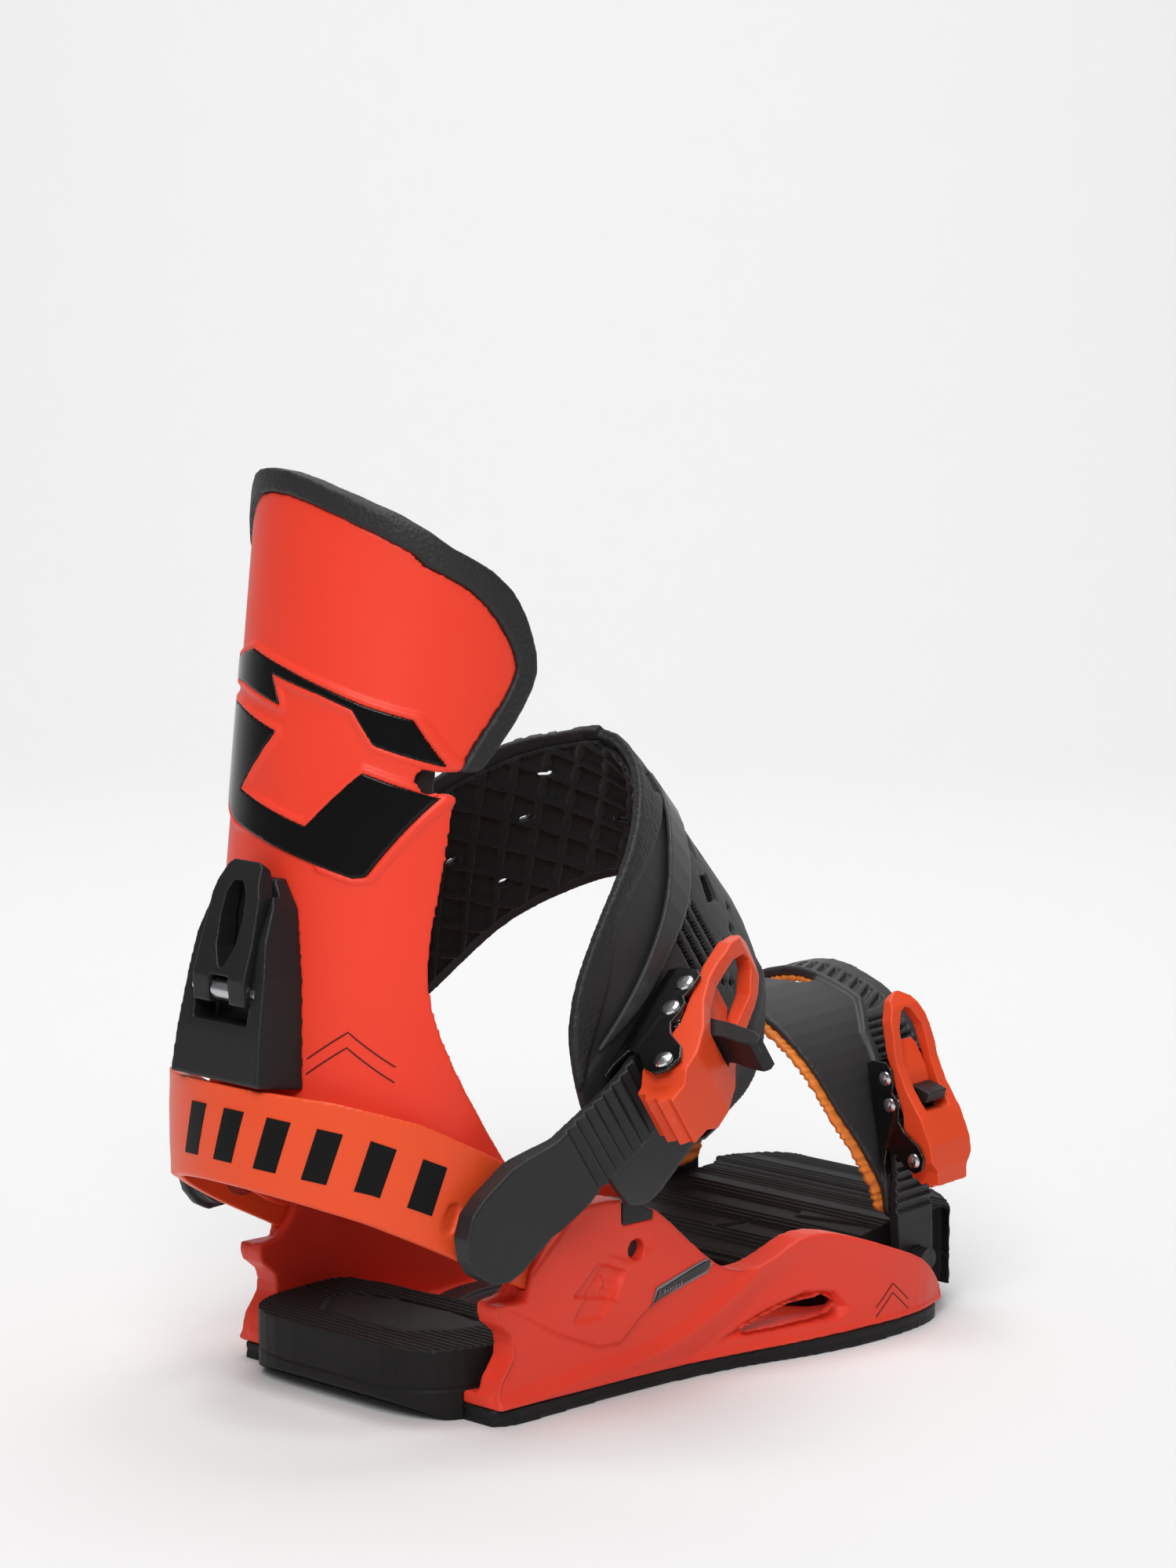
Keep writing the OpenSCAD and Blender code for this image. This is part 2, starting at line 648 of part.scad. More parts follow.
ankle_arch = flow(arch([[40, -64.5], [58, -64], [76, -62.3], [97, -57.3], [120, -49],
    [142, -35.5], [158, -19.5], [166, 0]]), 3);
lateral_pad = smooth([[40, -34], [40.5, -20], [46, -2], [52, 12], [60, 23], [74, 31], [97, 34],
    [130, 33], [166, 32], [200, 32], [200, -31], [166, -32], [152, -40], [140, -50],
    [125, -54], [106, -55], [90, -50], [76, -44], [60, -42], [48, -41]], 3);
medial_pad = smooth([[62, -14], [60, 4], [64, 22], [78, 33], [100, 39], [125, 42], [150, 39],
    [166, 34], [200, 32], [200, -31], [166, -31], [150, -24], [125, -19], [100, -20],
    [78, -20], [68, -19]], 3);
lateral_liner = smooth([[48, -14], [50, -4], [58, 16], [74, 26], [97, 29.5], [130, 29],
    [166, 28], [200, 28], [200, -27], [166, -28], [152, -35], [140, -44], [125, -49],
    [106, -46], [90, -35], [76, -27], [60, -20]], 3);
medial_liner = smooth([[66, -10], [64, 4], [68, 18], [80, 28], [100, 34], [125, 37], [150, 34],
    [166, 30], [200, 28], [200, -27], [166, -27], [150, -20], [125, -15], [100, -16],
    [80, -16], [70, -15]], 3);

module strap_layer(path, near, away, lateral, medial) {
    intersection() {
        upward(-80, 80) polygon(band(path, near, away));
        union() {
            across(-90, 0) polygon(lateral);
            across(0, 90) polygon(medial);
        }
    }
}

module ankle_strap_shell() color(rubber) in_ankle_strap() difference() {
    strap_layer(ankle_arch, -strap_t, 0, lateral_pad, medial_pad);
    // lattice windows across the instep
    for (v = [-30, -14, 2, 18, 34], w = [-12, 8, 24])
        translate([100, v + w / 4, w]) rotate([0, 90, 0]) linear_extrude(100)
            polygon([[-6, 0], [0, -4.5], [6, 0], [0, 4.5]]);
}

module ankle_strap_liner() color(black) in_ankle_strap() {
    strap_layer(ankle_arch, -strap_t - liner_t, -strap_t, lateral_liner, medial_liner);
}

// Raised rib on the outside of the shell, along the buckle's upper side
module ankle_strap_rib() color(black) in_ankle_strap() {
    intersection() {
        upward(-80, 80) polygon(band(ankle_arch, 0, 1.6));
        across(-90, -3) polygon(smooth([[62, 11.5], [74, 11.5], [88, 11], [102, 11], [116, 12],
            [128, 13.5], [140, 15.5], [175, 17], [175, 7], [150, 4], [139, 2], [127, 1.5],
            [114, 3], [100, 4], [88, 5], [74, 8]], 3));
    }
}

ladder_in = [[-15, -59.6], [15, -59.6], [29, -66], [46, -68.4], [55, -69.2], [60, -69.2],
    [102, -59.5]];
ladder_out = [[-15, -66], [14, -66], [27, -70.6], [47, -72], [59, -73], [103, -62.9]];
teeth_from = 33;
teeth_to = 92;
tooth_pitch = 4;
tooth_depth = 1.5;
ladder_side = [[0, -14.3], [-6, -13.2], [-11.5, -9], [-14.3, -3], [-14.3, 3], [-11.5, 9],
    [-6, 13.2], [0, 14.3], [18, 13.8], [30, 12], [92, 12], [97, 8], [97, -8], [92, -12],
    [30, -12], [18, -13.8]];

module toothed(inner, outer, from, to, pitch, depth) {
    upward(-40, 40) polygon(concat([for (p = outer) if (p[0] < from) p],
        [for (s = [from:pitch:to], k = [0, 1]) k == 0 ? [s, height_at(outer, s)]
            : [s + pitch * 0.3, height_at(outer, s + pitch * 0.3) + depth]],
        [outer[len(outer) - 1]], [for (i = [len(inner) - 1:-1:0]) inner[i]]));
}

module ankle_ladder() color(rubber) in_ankle_ladder() difference() {
    intersection() {
        toothed(ladder_in, ladder_out, teeth_from, teeth_to, tooth_pitch, tooth_depth);
        across(-90, 0) polygon(ladder_side);
    }
    rod_y(ankle_pin_r + run, -64, 0);
}

connector_path = flow([[-14, 64.2], [30, 65.5], [58, 64.2], [76, 62.5], [97, 57.5],
    [120, 49.2]], 3);
connector_side = [[0, -13], [-6, -12], [-11, -8], [-13, -3], [-13, 3], [-11, 8], [-6, 12],
    [0, 13], [95, 12], [104, 8], [107, 0], [104, -8], [95, -12]];
connector_screw_u = 84;
connector_screw_tilt = 13.4;

// On the connector's outer face, with Y outward
module at_connector_screw() {
    translate([connector_screw_u, height_at(connector_path, connector_screw_u) + 3.55, 0])
        rotate([0, 0, -connector_screw_tilt]) children();
}

module ankle_connector() color(rubber) in_ankle_strap() difference() {
    union() {
        intersection() {
            upward(-40, 40) polygon(concat(
                [for (p = connector_path) [p[0], p[1] + 3.4]],
                [for (i = [len(connector_path) - 1:-1:0]) connector_path[i] + [0.2, 0.2]]));
            across(0, 90) polygon(connector_side);
        }
        rod_y(11, boss_in, 66);
    }
    rod_y(ankle_pin_r + run, 0, 64);
    at_connector_screw() rod_y(2.5 + eps, -9, 9);
}

module ankle_connector_screw() color(steel) in_ankle_strap() at_connector_screw() {
    rod_y(2.5, -3, eps);
    rod_y(5.5, 0, 1.7);
}

// ---------- toe strap ----------

toe_arch = flow(arch([[13, -50.6], [30, -50.6], [45, -49.6], [60, -45], [72, -36],
    [81, -21.5], [86, 0]]), 3);
toe_pad_side = smooth([[13, 0], [14, 7], [24, 9], [40, 18], [52, 25], [66, 29], [78, 30],
    [90, 26], [110, 26], [110, -26], [90, -26], [76, -24], [60, -20], [45, -14], [30, -11],
    [20, -9]], 3);
toe_liner_side = smooth([[14.5, 1], [15.5, 9], [23, 11.5], [38, 20], [50, 27], [66, 31.5],
    [79, 32.5], [90, 28.5], [110, 28], [110, -22], [90, -22], [76, -20], [60, -16], [45, -10], [30, -7],
    [18, -6]], 3);
toe_window = smooth([[-8, -5], [-6, -9], [-1, -9], [3, -4], [6, 8], [6, 18], [3, 27], [-2, 31],
    [-7, 30], [-9, 25], [-8.5, 10]], 3);
toe_t = 2.6;
toe_liner_t = 2;

module toe_opening() {
    rotate([0, 90, 0]) linear_extrude(120) polygon([for (p = toe_window) [-p[0], p[1]]]);
}

module toe_strap_shell() color(rubber) in_toe_strap() difference() {
    strap_layer(toe_arch, -toe_t, 0, toe_pad_side, toe_pad_side);
    toe_opening();
}

module toe_strap_liner() color("darkorange") in_toe_strap() difference() {
    strap_layer(toe_arch, -toe_t - toe_liner_t, -toe_t, toe_liner_side, toe_liner_side);
    toe_opening();
}

toe_ladder_in = [[-12, -51.3], [13, -51.3], [28, -53.1], [32, -53.1], [66, -48.4]];
toe_ladder_out = [[-12, -55.3], [12, -55.3], [32, -56.2], [67, -51.3]];
toe_ladder_side = [[-4, -7.5], [-7, -5.5], [-8, -2.5], [-8, 2.5], [-7, 5.5], [-4, 7.5],
    [12, 8.2], [58, 8.2], [61.5, 5.5], [61.5, -5.5], [58, -8.2], [12, -8.2]];
toe_teeth_from = 16;
toe_teeth_to = 57;
toe_tooth_pitch = 3.4;
toe_tooth_depth = 1.2;
toe_buckle_at = [31, -51.5];
toe_buckle_tilt = 8;

module at_toe_buckle() {
    in_toe_strap() translate([toe_buckle_at[0], toe_buckle_at[1], 0])
        rotate([90, 0, toe_buckle_tilt]) scale(toe_scale) children();
}

module toe_ladder() color(rubber) in_toe_strap() difference() {
    intersection() {
        toothed(toe_ladder_in, toe_ladder_out, toe_teeth_from, toe_teeth_to, toe_tooth_pitch,
            toe_tooth_depth);
        across(-90, 0) polygon(toe_ladder_side);
    }
    rod_y(toe_pin_r + run, -90, 0);
}

toe_connector_path = flow([[-10, 51.3], [13, 51.3], [30, 51], [45, 50], [60, 45.4]], 3);
toe_connector_side = [[-4, -9.5], [-8.5, -7], [-10, -3], [-10, 3], [-8.5, 7], [-4, 9.5],
    [45, 10], [52, 7], [54, 0], [52, -7], [45, -10]];
toe_screw_u = 38;
toe_screw_tilt = 3.8;

module at_toe_screw() {
    translate([toe_screw_u, height_at(toe_connector_path, toe_screw_u) + 3.8, 0])
        rotate([0, 0, -toe_screw_tilt]) children();
}

module toe_connector() color(rubber) in_toe_strap() difference() {
    intersection() {
        upward(-40, 40) polygon(concat([for (p = toe_connector_path) [p[0], p[1] + 3.6]],
            [for (i = [len(toe_connector_path) - 1:-1:0]) toe_connector_path[i] + [0.1, 0.1]]));
        across(0, 90) polygon(toe_connector_side);
    }
    rod_y(toe_pin_r + run, 0, 90);
    at_toe_screw() rod_y(2.2 + eps, -9, 9);
}

module toe_connector_screw() color(steel) in_toe_strap() at_toe_screw() {
    rod_y(2.2, -3, eps);
    rod_y(4.8, 0, 1.6);
}

module toe_buckle_frame() at_toe_buckle() buckle_frame();
module toe_buckle_rivets() at_toe_buckle() buckle_rivets();
module toe_pawl_spring() at_toe_buckle() pawl_spring();
module toe_buckle_lever() at_toe_buckle() ratchet_lever();
module toe_buckle_pawl() at_toe_buckle() ratchet_pawl();
module toe_release_tip() at_toe_buckle() release_tab(tab_short);

sole_dampener();
baseplate();
heel_pad();
toe_pad();
toe_ramp();
mounting_disc();
wing_insert_lateral();
wing_insert_medial();
wing_plugs();
heel_loop();
heel_loop_screws();
ankle_pivot_bolts();
ankle_pivot_washers();
highback_pivot_bolts();
toe_pivot_bolts();
highback_shell();
highback_rim();
highback_pad();
upper_inlay();
lower_inlay();
lean_block();
lean_clamp_screw();
lean_nut_plate();
lean_lever();
lean_lever_pin();
ankle_ladder();
ankle_strap_shell();
ankle_strap_liner();
ankle_strap_rib();
ankle_connector();
ankle_connector_screw();
ankle_buckle_frame();
ankle_buckle_rivets();
ankle_pawl_spring();
ankle_buckle_lever();
ankle_buckle_pawl();
ankle_release_tab();
toe_ladder();
toe_strap_shell();
toe_strap_liner();
toe_connector();
toe_connector_screw();
toe_buckle_frame();
toe_buckle_rivets();
toe_pawl_spring();
toe_buckle_lever();
toe_buckle_pawl();
toe_release_tip();
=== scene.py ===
"""Snowboard strap binding: the looks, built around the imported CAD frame."""
import math

import bmesh
import bpy
import numpy as np
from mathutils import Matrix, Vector


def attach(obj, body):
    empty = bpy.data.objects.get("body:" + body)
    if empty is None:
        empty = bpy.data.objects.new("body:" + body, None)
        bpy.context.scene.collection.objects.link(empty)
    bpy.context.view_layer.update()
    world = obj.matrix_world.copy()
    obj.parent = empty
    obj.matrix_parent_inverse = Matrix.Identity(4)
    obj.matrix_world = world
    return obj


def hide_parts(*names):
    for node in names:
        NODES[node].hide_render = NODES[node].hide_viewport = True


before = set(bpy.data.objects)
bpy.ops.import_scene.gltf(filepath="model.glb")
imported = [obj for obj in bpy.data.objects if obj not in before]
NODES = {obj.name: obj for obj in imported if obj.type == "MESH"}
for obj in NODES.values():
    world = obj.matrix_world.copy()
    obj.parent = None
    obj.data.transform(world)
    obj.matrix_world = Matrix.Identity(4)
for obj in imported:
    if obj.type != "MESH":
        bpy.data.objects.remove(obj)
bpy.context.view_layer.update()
MM = 0.001


# ---------------------------------------------------------------- materials

DRIFT_SCALE = 45.0
GRAIN_BUMP = 0.6
COAT_ROUGH = 0.15
# Lighter, paler convex edges, partly wear and partly painted highlight: pointiness range, colour
# kept and lift
EDGE_FROM, EDGE_TO = 0.52, 0.62
WEAR_HIGHLIGHT_KEEP, WEAR_HIGHLIGHT_LIFT = 0.6, 0.25


def tint(colour, gain):
    """The colour made lighter or darker, with alpha 1."""
    return [min(1.0, c * gain) for c in colour] + [1.0]


def moulded(name, colour, rough, grain_mm, grain_depth, cloud, wear_and_highlight=0.0, coat=0.0,
            metal=0.0, grain="NOISE", rough_spread=0.08, sheen=0.0, specular=0.3):
    """A moulded or painted surface with colour drift, fine grain, uneven gloss, edge wear and
    painted highlight.
    """
    mat = bpy.data.materials.new(name)
    mat.use_nodes = True
    tree = mat.node_tree
    shader = tree.nodes["Principled BSDF"]
    shader.inputs["Metallic"].default_value = metal
    shader.inputs["Coat Weight"].default_value = coat
    shader.inputs["Coat Roughness"].default_value = COAT_ROUGH
    shader.inputs["Sheen Weight"].default_value = sheen
    shader.inputs["Specular IOR Level"].default_value = specular

    def node(kind, **values):
        made = tree.nodes.new(kind)
        for key, value in values.items():
            if key in made.inputs:
                made.inputs[key].default_value = value
            else:
                setattr(made, key, value)
        return made

    def link(a, out, b, into):
        tree.links.new(a.outputs[out], b.inputs[into])

    place = node("ShaderNodeTexCoord")
    drift = node("ShaderNodeTexNoise", Scale=DRIFT_SCALE, Detail=4.0, Roughness=0.6)
    link(place, "Object", drift, "Vector")
    shade = node("ShaderNodeMix", data_type="RGBA")
    shade.inputs["A"].default_value = tint(colour, 1 - cloud)
    shade.inputs["B"].default_value = tint(colour, 1 + cloud)
    link(drift, "Fac", shade, "Factor")
    last = shade
    # Convex edges get a lighter, paler colour: partly wear, partly a painted highlight
    if wear_and_highlight:
        edge = node("ShaderNodeNewGeometry")
        ramp = node("ShaderNodeMapRange")
        ramp.inputs["From Min"].default_value = EDGE_FROM
        ramp.inputs["From Max"].default_value = EDGE_TO
        ramp.inputs["To Max"].default_value = wear_and_highlight
        link(edge, "Pointiness", ramp, "Value")
        wear_and_highlight_mix = node("ShaderNodeMix", data_type="RGBA")
        wear_and_highlight_mix.inputs["B"].default_value = tint([c * WEAR_HIGHLIGHT_KEEP + WEAR_HIGHLIGHT_LIFT for c in colour], 1)
        link(ramp, "Result", wear_and_highlight_mix, "Factor")
        link(last, "Result", wear_and_highlight_mix, "A")
        last = wear_and_highlight_mix
    link(last, "Result", shader, "Base Color")
    gloss = node("ShaderNodeMapRange")
    gloss.inputs["To Min"].default_value = max(0.02, rough - rough_spread)
    gloss.inputs["To Max"].default_value = min(1.0, rough + rough_spread)
    link(drift, "Fac", gloss, "Value")
    link(gloss, "Result", shader, "Roughness")
    if grain == "LEATHER":
        fine = node("ShaderNodeTexVoronoi", Scale=1 / (grain_mm * MM), feature="SMOOTH_F1")
        height = "Distance"
    else:
        fine = node("ShaderNodeTexNoise", Scale=1 / (grain_mm * MM), Detail=2.0)
        height = "Fac"
    link(place, "Object", fine, "Vector")
    bump = node("ShaderNodeBump", Strength=GRAIN_BUMP, Distance=grain_depth * MM)
    link(fine, height, bump, "Height")
    link(bump, "Normal", shader, "Normal")
    return mat


# name, colour, roughness, grain size and depth in mm, colour drift
SHELL = moulded("shell_orange", (0.87, 0.052, 0.024), 0.42, 0.5, 0.02, 0.03, wear_and_highlight=0.05)
LOOP = moulded("loop_orange", (0.84, 0.082, 0.020), 0.40, 0.5, 0.02, 0.03, wear_and_highlight=0.1)
BASE = moulded("base_orange", (0.80, 0.050, 0.024), 0.46, 0.45, 0.03, 0.04, wear_and_highlight=0.15)
LEVER = moulded("lever_paint", (0.74, 0.066, 0.018), 0.38, 0.6, 0.02, 0.04, wear_and_highlight=0.25)
SOLE = moulded("sole_rubber", (0.008, 0.008, 0.008), 0.55, 0.6, 0.10, 0.15, wear_and_highlight=0.06,
               specular=0.25)
TREAD = moulded("tread_rubber", (0.008, 0.0075, 0.007), 0.60, 0.45, 0.14, 0.18, wear_and_highlight=0.08,
                specular=0.22)
RIM = moulded("rim_rubber", (0.021, 0.021, 0.022), 0.50, 1.1, 0.45, 0.12, grain="LEATHER")
STRAP = moulded("strap_rubber", (0.024, 0.024, 0.026), 0.48, 0.7, 0.03, 0.10, wear_and_highlight=0.06,
                specular=0.4)
# Near-black painted shade for the faces inside the ankle strap's slots, pits and cells
SHADE = moulded("slot_painted_shade", (0.004, 0.004, 0.004), 0.7, 0.7, 0.03, 0.10, specular=0.1)
HIDE = moulded("strap_hide", (0.020, 0.020, 0.021), 0.52, 1.3, 0.6, 0.12, grain="LEATHER")
RIDGE = moulded("ridge_polymer", (0.040, 0.040, 0.042), 0.34, 0.5, 0.02, 0.08, wear_and_highlight=0.1)
LADDER = moulded("ladder_polymer", (0.017, 0.017, 0.018), 0.44, 0.5, 0.03, 0.10, wear_and_highlight=0.12)
BLACK = moulded("black_nylon", (0.012, 0.012, 0.013), 0.42, 0.5, 0.03, 0.12, wear_and_highlight=0.12)
GLOSS = moulded("gloss_lacquer", (0.004, 0.004, 0.004), 0.12, 0.9, 0.005, 0.10, coat=0.5,
                wear_and_highlight=0.05, rough_spread=0.03)
FILM = moulded("inlay_film", (0.003, 0.003, 0.003), 0.18, 0.9, 0.008, 0.10, coat=0.1,
               rough_spread=0.04, specular=0.2)
FOAM = moulded("liner_foam", (0.009, 0.009, 0.009), 0.80, 0.8, 0.25, 0.15, sheen=0.2)
EDGE = moulded("orange_foam", (0.80, 0.22, 0.03), 0.55, 1.6, 0.30, 0.14, sheen=0.1)
STEEL = moulded("zinc_steel", (0.55, 0.55, 0.57), 0.28, 0.4, 0.01, 0.08, metal=1.0)
RIVET = moulded("polished_rivet", (0.72, 0.72, 0.74), 0.20, 0.7, 0.01, 0.06, metal=1.0)
WIRE = moulded("spring_wire", (0.45, 0.45, 0.47), 0.30, 0.4, 0.01, 0.08, metal=1.0)
PRINT = moulded("black_print", (0.006, 0.006, 0.006), 0.5, 0.5, 0.01, 0.10, specular=0.12)
LINE = moulded("line_print", (0.10, 0.012, 0.010), 0.5, 0.5, 0.01, 0.10)
BADGE = moulded("badge_metal", (0.22, 0.22, 0.23), 0.35, 0.5, 0.02, 0.10, metal=0.8)


# ---------------------------------------------------------------- mesh helpers

def add_piece(name, mesh, mat):
    """A new object in the scene with one material."""
    piece = bpy.data.objects.new(name, mesh)
    bpy.context.scene.collection.objects.link(piece)
    mesh.materials.clear()
    mesh.materials.append(mat)
    return piece


def bake_modifiers(piece):
    """Applies every modifier on the piece to its mesh."""
    bpy.context.view_layer.update()
    graph = bpy.context.evaluated_depsgraph_get()
    made = bpy.data.meshes.new_from_object(piece.evaluated_get(graph))
    old = piece.data
    piece.modifiers.clear()
    piece.data = made
    bpy.data.meshes.remove(old)
    return piece


def copy_of(name, node, mat):
    """A welded copy of a CAD node's mesh."""
    mesh = NODES[node].data.copy()
    shape = bmesh.new()
    shape.from_mesh(mesh)
    bmesh.ops.remove_doubles(shape, verts=shape.verts, dist=2e-6)
    shape.to_mesh(mesh)
    shape.free()
    return add_piece(name, mesh, mat)


def shade_smooth(piece, angle=None):
    """Smooth shading, with edges sharper than the angle kept hard if one is given."""
    piece.data.polygons.foreach_set("use_smooth", [True] * len(piece.data.polygons))
    if angle is not None:
        piece.data.set_sharp_from_angle(angle=math.radians(angle))
    piece.data.update()
    return piece


def soften(piece, voxel, passes):
    """Rebuilds the piece as an even mesh and rounds its edges, as a moulding has them."""
    mod = piece.modifiers.new("even", "REMESH")
    mod.mode = "VOXEL"
    mod.voxel_size = voxel * MM
    mod.use_smooth_shade = True
    mod = piece.modifiers.new("round", "SMOOTH")
    mod.factor = 0.5
    mod.iterations = passes
    return shade_smooth(bake_modifiers(piece))


def cut(piece, *cutters):
    """Takes the cutters away from the piece, and removes them."""
    for tool in cutters:
        mod = piece.modifiers.new("cut", "BOOLEAN")
        mod.operation = "DIFFERENCE"
        mod.solver = "EXACT"
        mod.object = tool
    bake_modifiers(piece)
    for tool in cutters:
        bpy.data.objects.remove(tool)
    return piece


def sculpt(piece, push):
    """Moves the vertices by push(points in mm, normals): moves, or heights along the normals."""
    mesh = piece.data
    count = len(mesh.vertices)
    co = np.zeros(count * 3)
    mesh.vertices.foreach_get("co", co)
    co = co.reshape(-1, 3)
    normal = np.zeros(count * 3)
    mesh.vertex_normals.foreach_get("vector", normal)
    normal = normal.reshape(-1, 3)
    move = push(co / MM, normal)
    if move.ndim == 1:
        move = normal * move[:, None]
    mesh.vertices.foreach_set("co", (co + move * MM).ravel())
    mesh.update()
    return piece


def lighten(piece, ratio):
    """Keeps this share of the piece's faces."""
    mod = piece.modifiers.new("lighten", "DECIMATE")
    mod.ratio = ratio
    return shade_smooth(bake_modifiers(piece))


def closed_mesh(name, shape):
    """The bmesh as a mesh whose normals point outwards."""
    bmesh.ops.recalc_face_normals(shape, faces=shape.faces)
    mesh = bpy.data.meshes.new(name)
    shape.to_mesh(mesh)
    shape.free()
    return mesh


def rebuilt(name, node, mat, voxel, passes, shape=None, keep=1.0):
    """A softened copy of a CAD node, sculpted by shape, with this share of its faces."""
    piece = soften(copy_of(name, node, mat), voxel, passes)
    if shape:
        sculpt(piece, shape)
    if keep < 1.0:
        lighten(piece, keep)
    return piece


def finishes(piece, others, chooser):
    """Gives other materials to the faces that chooser numbers 1, 2..., from centres in mm."""
    mesh = piece.data
    for other in others:
        mesh.materials.append(other)
    centre = np.zeros(len(mesh.polygons) * 3)
    mesh.polygons.foreach_get("center", centre)
    pick = chooser(centre.reshape(-1, 3) / MM)
    mesh.polygons.foreach_set("material_index", pick.astype(np.int32))
    mesh.update()


def settle(piece, body, slot, *nodes):
    """The piece rides on a body and stands for these CAD nodes, which it hides; slot is not used.
    """
    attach(piece, body)
    if nodes:
        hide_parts(*nodes)
    return piece


def smooth_step(x, low, high):
    """0 at low, 1 at high and smooth between; low may be the larger."""
    t = np.clip((x - low) / (high - low), 0, 1)
    return t * t * (3 - 2 * t)


def hill(x, centre, half):
    """A smooth bump of height 1 and the given half width."""
    t = np.clip(np.abs(x - centre) / half, 0, 1)
    return (1 - t * t) ** 2


def to_edge(points, outline):
    """Signed distance of 2D points to a closed outline, positive inside."""
    outline = np.array(outline, float)
    after = np.roll(outline, -1, 0)
    best = np.full(len(points), 1e9)
    inside = np.zeros(len(points), bool)
    for a, b in zip(outline, after):
        d = b - a
        t = np.clip(((points - a) @ d) / (d @ d), 0, 1)
        best = np.minimum(best, np.hypot(*(points - a - t[:, None] * d).T))
        if a[1] != b[1]:
            crosses = (a[1] > points[:, 1]) != (b[1] > points[:, 1])
            x = (b[0] - a[0]) * (points[:, 1] - a[1]) / (b[1] - a[1]) + a[0]
            inside ^= crosses & (points[:, 0] < x)
    return np.where(inside, best, -best)


def to_line(points, line):
    """Distance of 2D points to an open line."""
    line = np.array(line, float)
    best = np.full(len(points), 1e9)
    for a, b in zip(line[:-1], line[1:]):
        d = b - a
        t = np.clip(((points - a) @ d) / (d @ d), 0, 1)
        best = np.minimum(best, np.hypot(*(points - a - t[:, None] * d).T))
    return best


def flow(points, n):
    """A smooth open path through the given points, with n steps between two of them."""
    points = [np.array(p, float) for p in points]
    last = len(points) - 1
    path = []
    for i in range(last):
        a, b, c, d = points[max(i - 1, 0)], points[i], points[i + 1], points[min(i + 2, last)]
        for t in np.arange(n) / n:
            path.append(0.5 * (2 * b + (c - a) * t + (2 * a - 5 * b + 4 * c - d) * t * t
                               + (3 * b - a - 3 * c + d) * t ** 3))
    return np.array(path + [points[-1]])


def arch(half):
    """A half path in (u, v) and its mirror image, joined at the crest."""
    return list(half) + [(u, -v) for u, v in reversed(half[:-1])]


def slope_frame(origin, slope):
    """To and from a frame whose first axis climbs at the slope: (u, v, w) against (x, y, z)."""
    c, s = math.cos(math.radians(slope)), math.sin(math.radians(slope))
    axes = np.array([[c, 0, s], [0, 1, 0], [-s, 0, c]])
    origin = np.array(origin, float)
    return (lambda p: (np.asarray(p, float) - origin) @ axes.T,
            lambda q: np.asarray(q, float) @ axes + origin)


def along_path(points, path):
    """Arc length from the path's middle, and distance outward from it, of 2D points."""
    length = np.concatenate([[0], np.cumsum(np.hypot(*np.diff(path, axis=0).T))])
    length -= length[-1] / 2
    best = np.full(len(points), 1e9)
    s = np.zeros(len(points))
    out = np.zeros(len(points))
    for i, (a, b) in enumerate(zip(path[:-1], path[1:])):
        d = b - a
        t = np.clip(((points - a) @ d) / (d @ d), 0, 1)
        gap = points - a - t[:, None] * d
        dist = np.hypot(*gap.T)
        side = np.sign(gap[:, 0] * d[1] - gap[:, 1] * d[0])
        nearer = dist < best
        best = np.where(nearer, dist, best)
        s = np.where(nearer, length[i] + t * np.hypot(*d), s)
        out = np.where(nearer, dist * side, out)
    return s, out


def line_up(tops, place, n=8):
    """Points of a broken line through tops, put in space by place(a, b)."""
    track = []
    for a, b in zip(tops[:-1], tops[1:]):
        track += [place(a[0] + (b[0] - a[0]) * k / n, a[1] + (b[1] - a[1]) * k / n)
                  for k in range(n)]
    return track + [place(*tops[-1])]


def sweep(name, path, radius, mat, sides=6):
    """A round tube along points in mm."""
    path = np.array(path, float)
    last = len(path) - 1
    shape = bmesh.new()
    rings = []
    up = None
    for i, centre in enumerate(path):
        along = path[min(i + 1, last)] - path[max(i - 1, 0)]
        along /= np.linalg.norm(along)
        if up is None:
            up = np.cross(along, [0.3, 0.5, 0.8])
        up = up - along * (up @ along)
        up /= np.linalg.norm(up)
        side = np.cross(along, up)
        angles = [2 * math.pi * k / sides for k in range(sides)]
        rings.append([shape.verts.new((centre + radius * (math.cos(a) * up + math.sin(a) * side))
                                      * MM) for a in angles])
    for low, high in zip(rings[:-1], rings[1:]):
        for k in range(sides):
            n = (k + 1) % sides
            shape.faces.new([low[k], low[n], high[n], high[k]])
    shape.faces.new(rings[0][::-1])
    shape.faces.new(rings[-1])
    return shade_smooth(add_piece(name, closed_mesh(name, shape), mat), 50)


def slab(name, outline, place, low, high, mat, step):
    """A thin plate, split into steps: an outline in mm, put in space by place(a, b, height)."""
    fine = []
    for a, b in zip(outline, outline[1:] + outline[:1]):
        n = max(1, int(math.dist(a, b) / step))
        fine += [(a[0] + (b[0] - a[0]) * k / n, a[1] + (b[1] - a[1]) * k / n)
                 for k in range(n)]
    shape = bmesh.new()
    face = shape.faces.new([shape.verts.new((a, b, 0)) for a, b in fine])
    bmesh.ops.triangulate(shape, faces=[face])
    for cell in np.arange(min(a for a, b in fine), max(a for a, b in fine), step):
        bmesh.ops.bisect_plane(shape, geom=shape.verts[:] + shape.edges[:] + shape.faces[:],
                               plane_co=(cell, 0, 0), plane_no=(1, 0, 0))
    made = bmesh.ops.extrude_face_region(shape, geom=shape.faces[:])
    top = {v for v in made["geom"] if isinstance(v, bmesh.types.BMVert)}
    for v in shape.verts:
        v.co = Vector(place(v.co.x, v.co.y, high if v in top else low)) * MM
    return shade_smooth(add_piece(name, closed_mesh(name, shape), mat), 35)


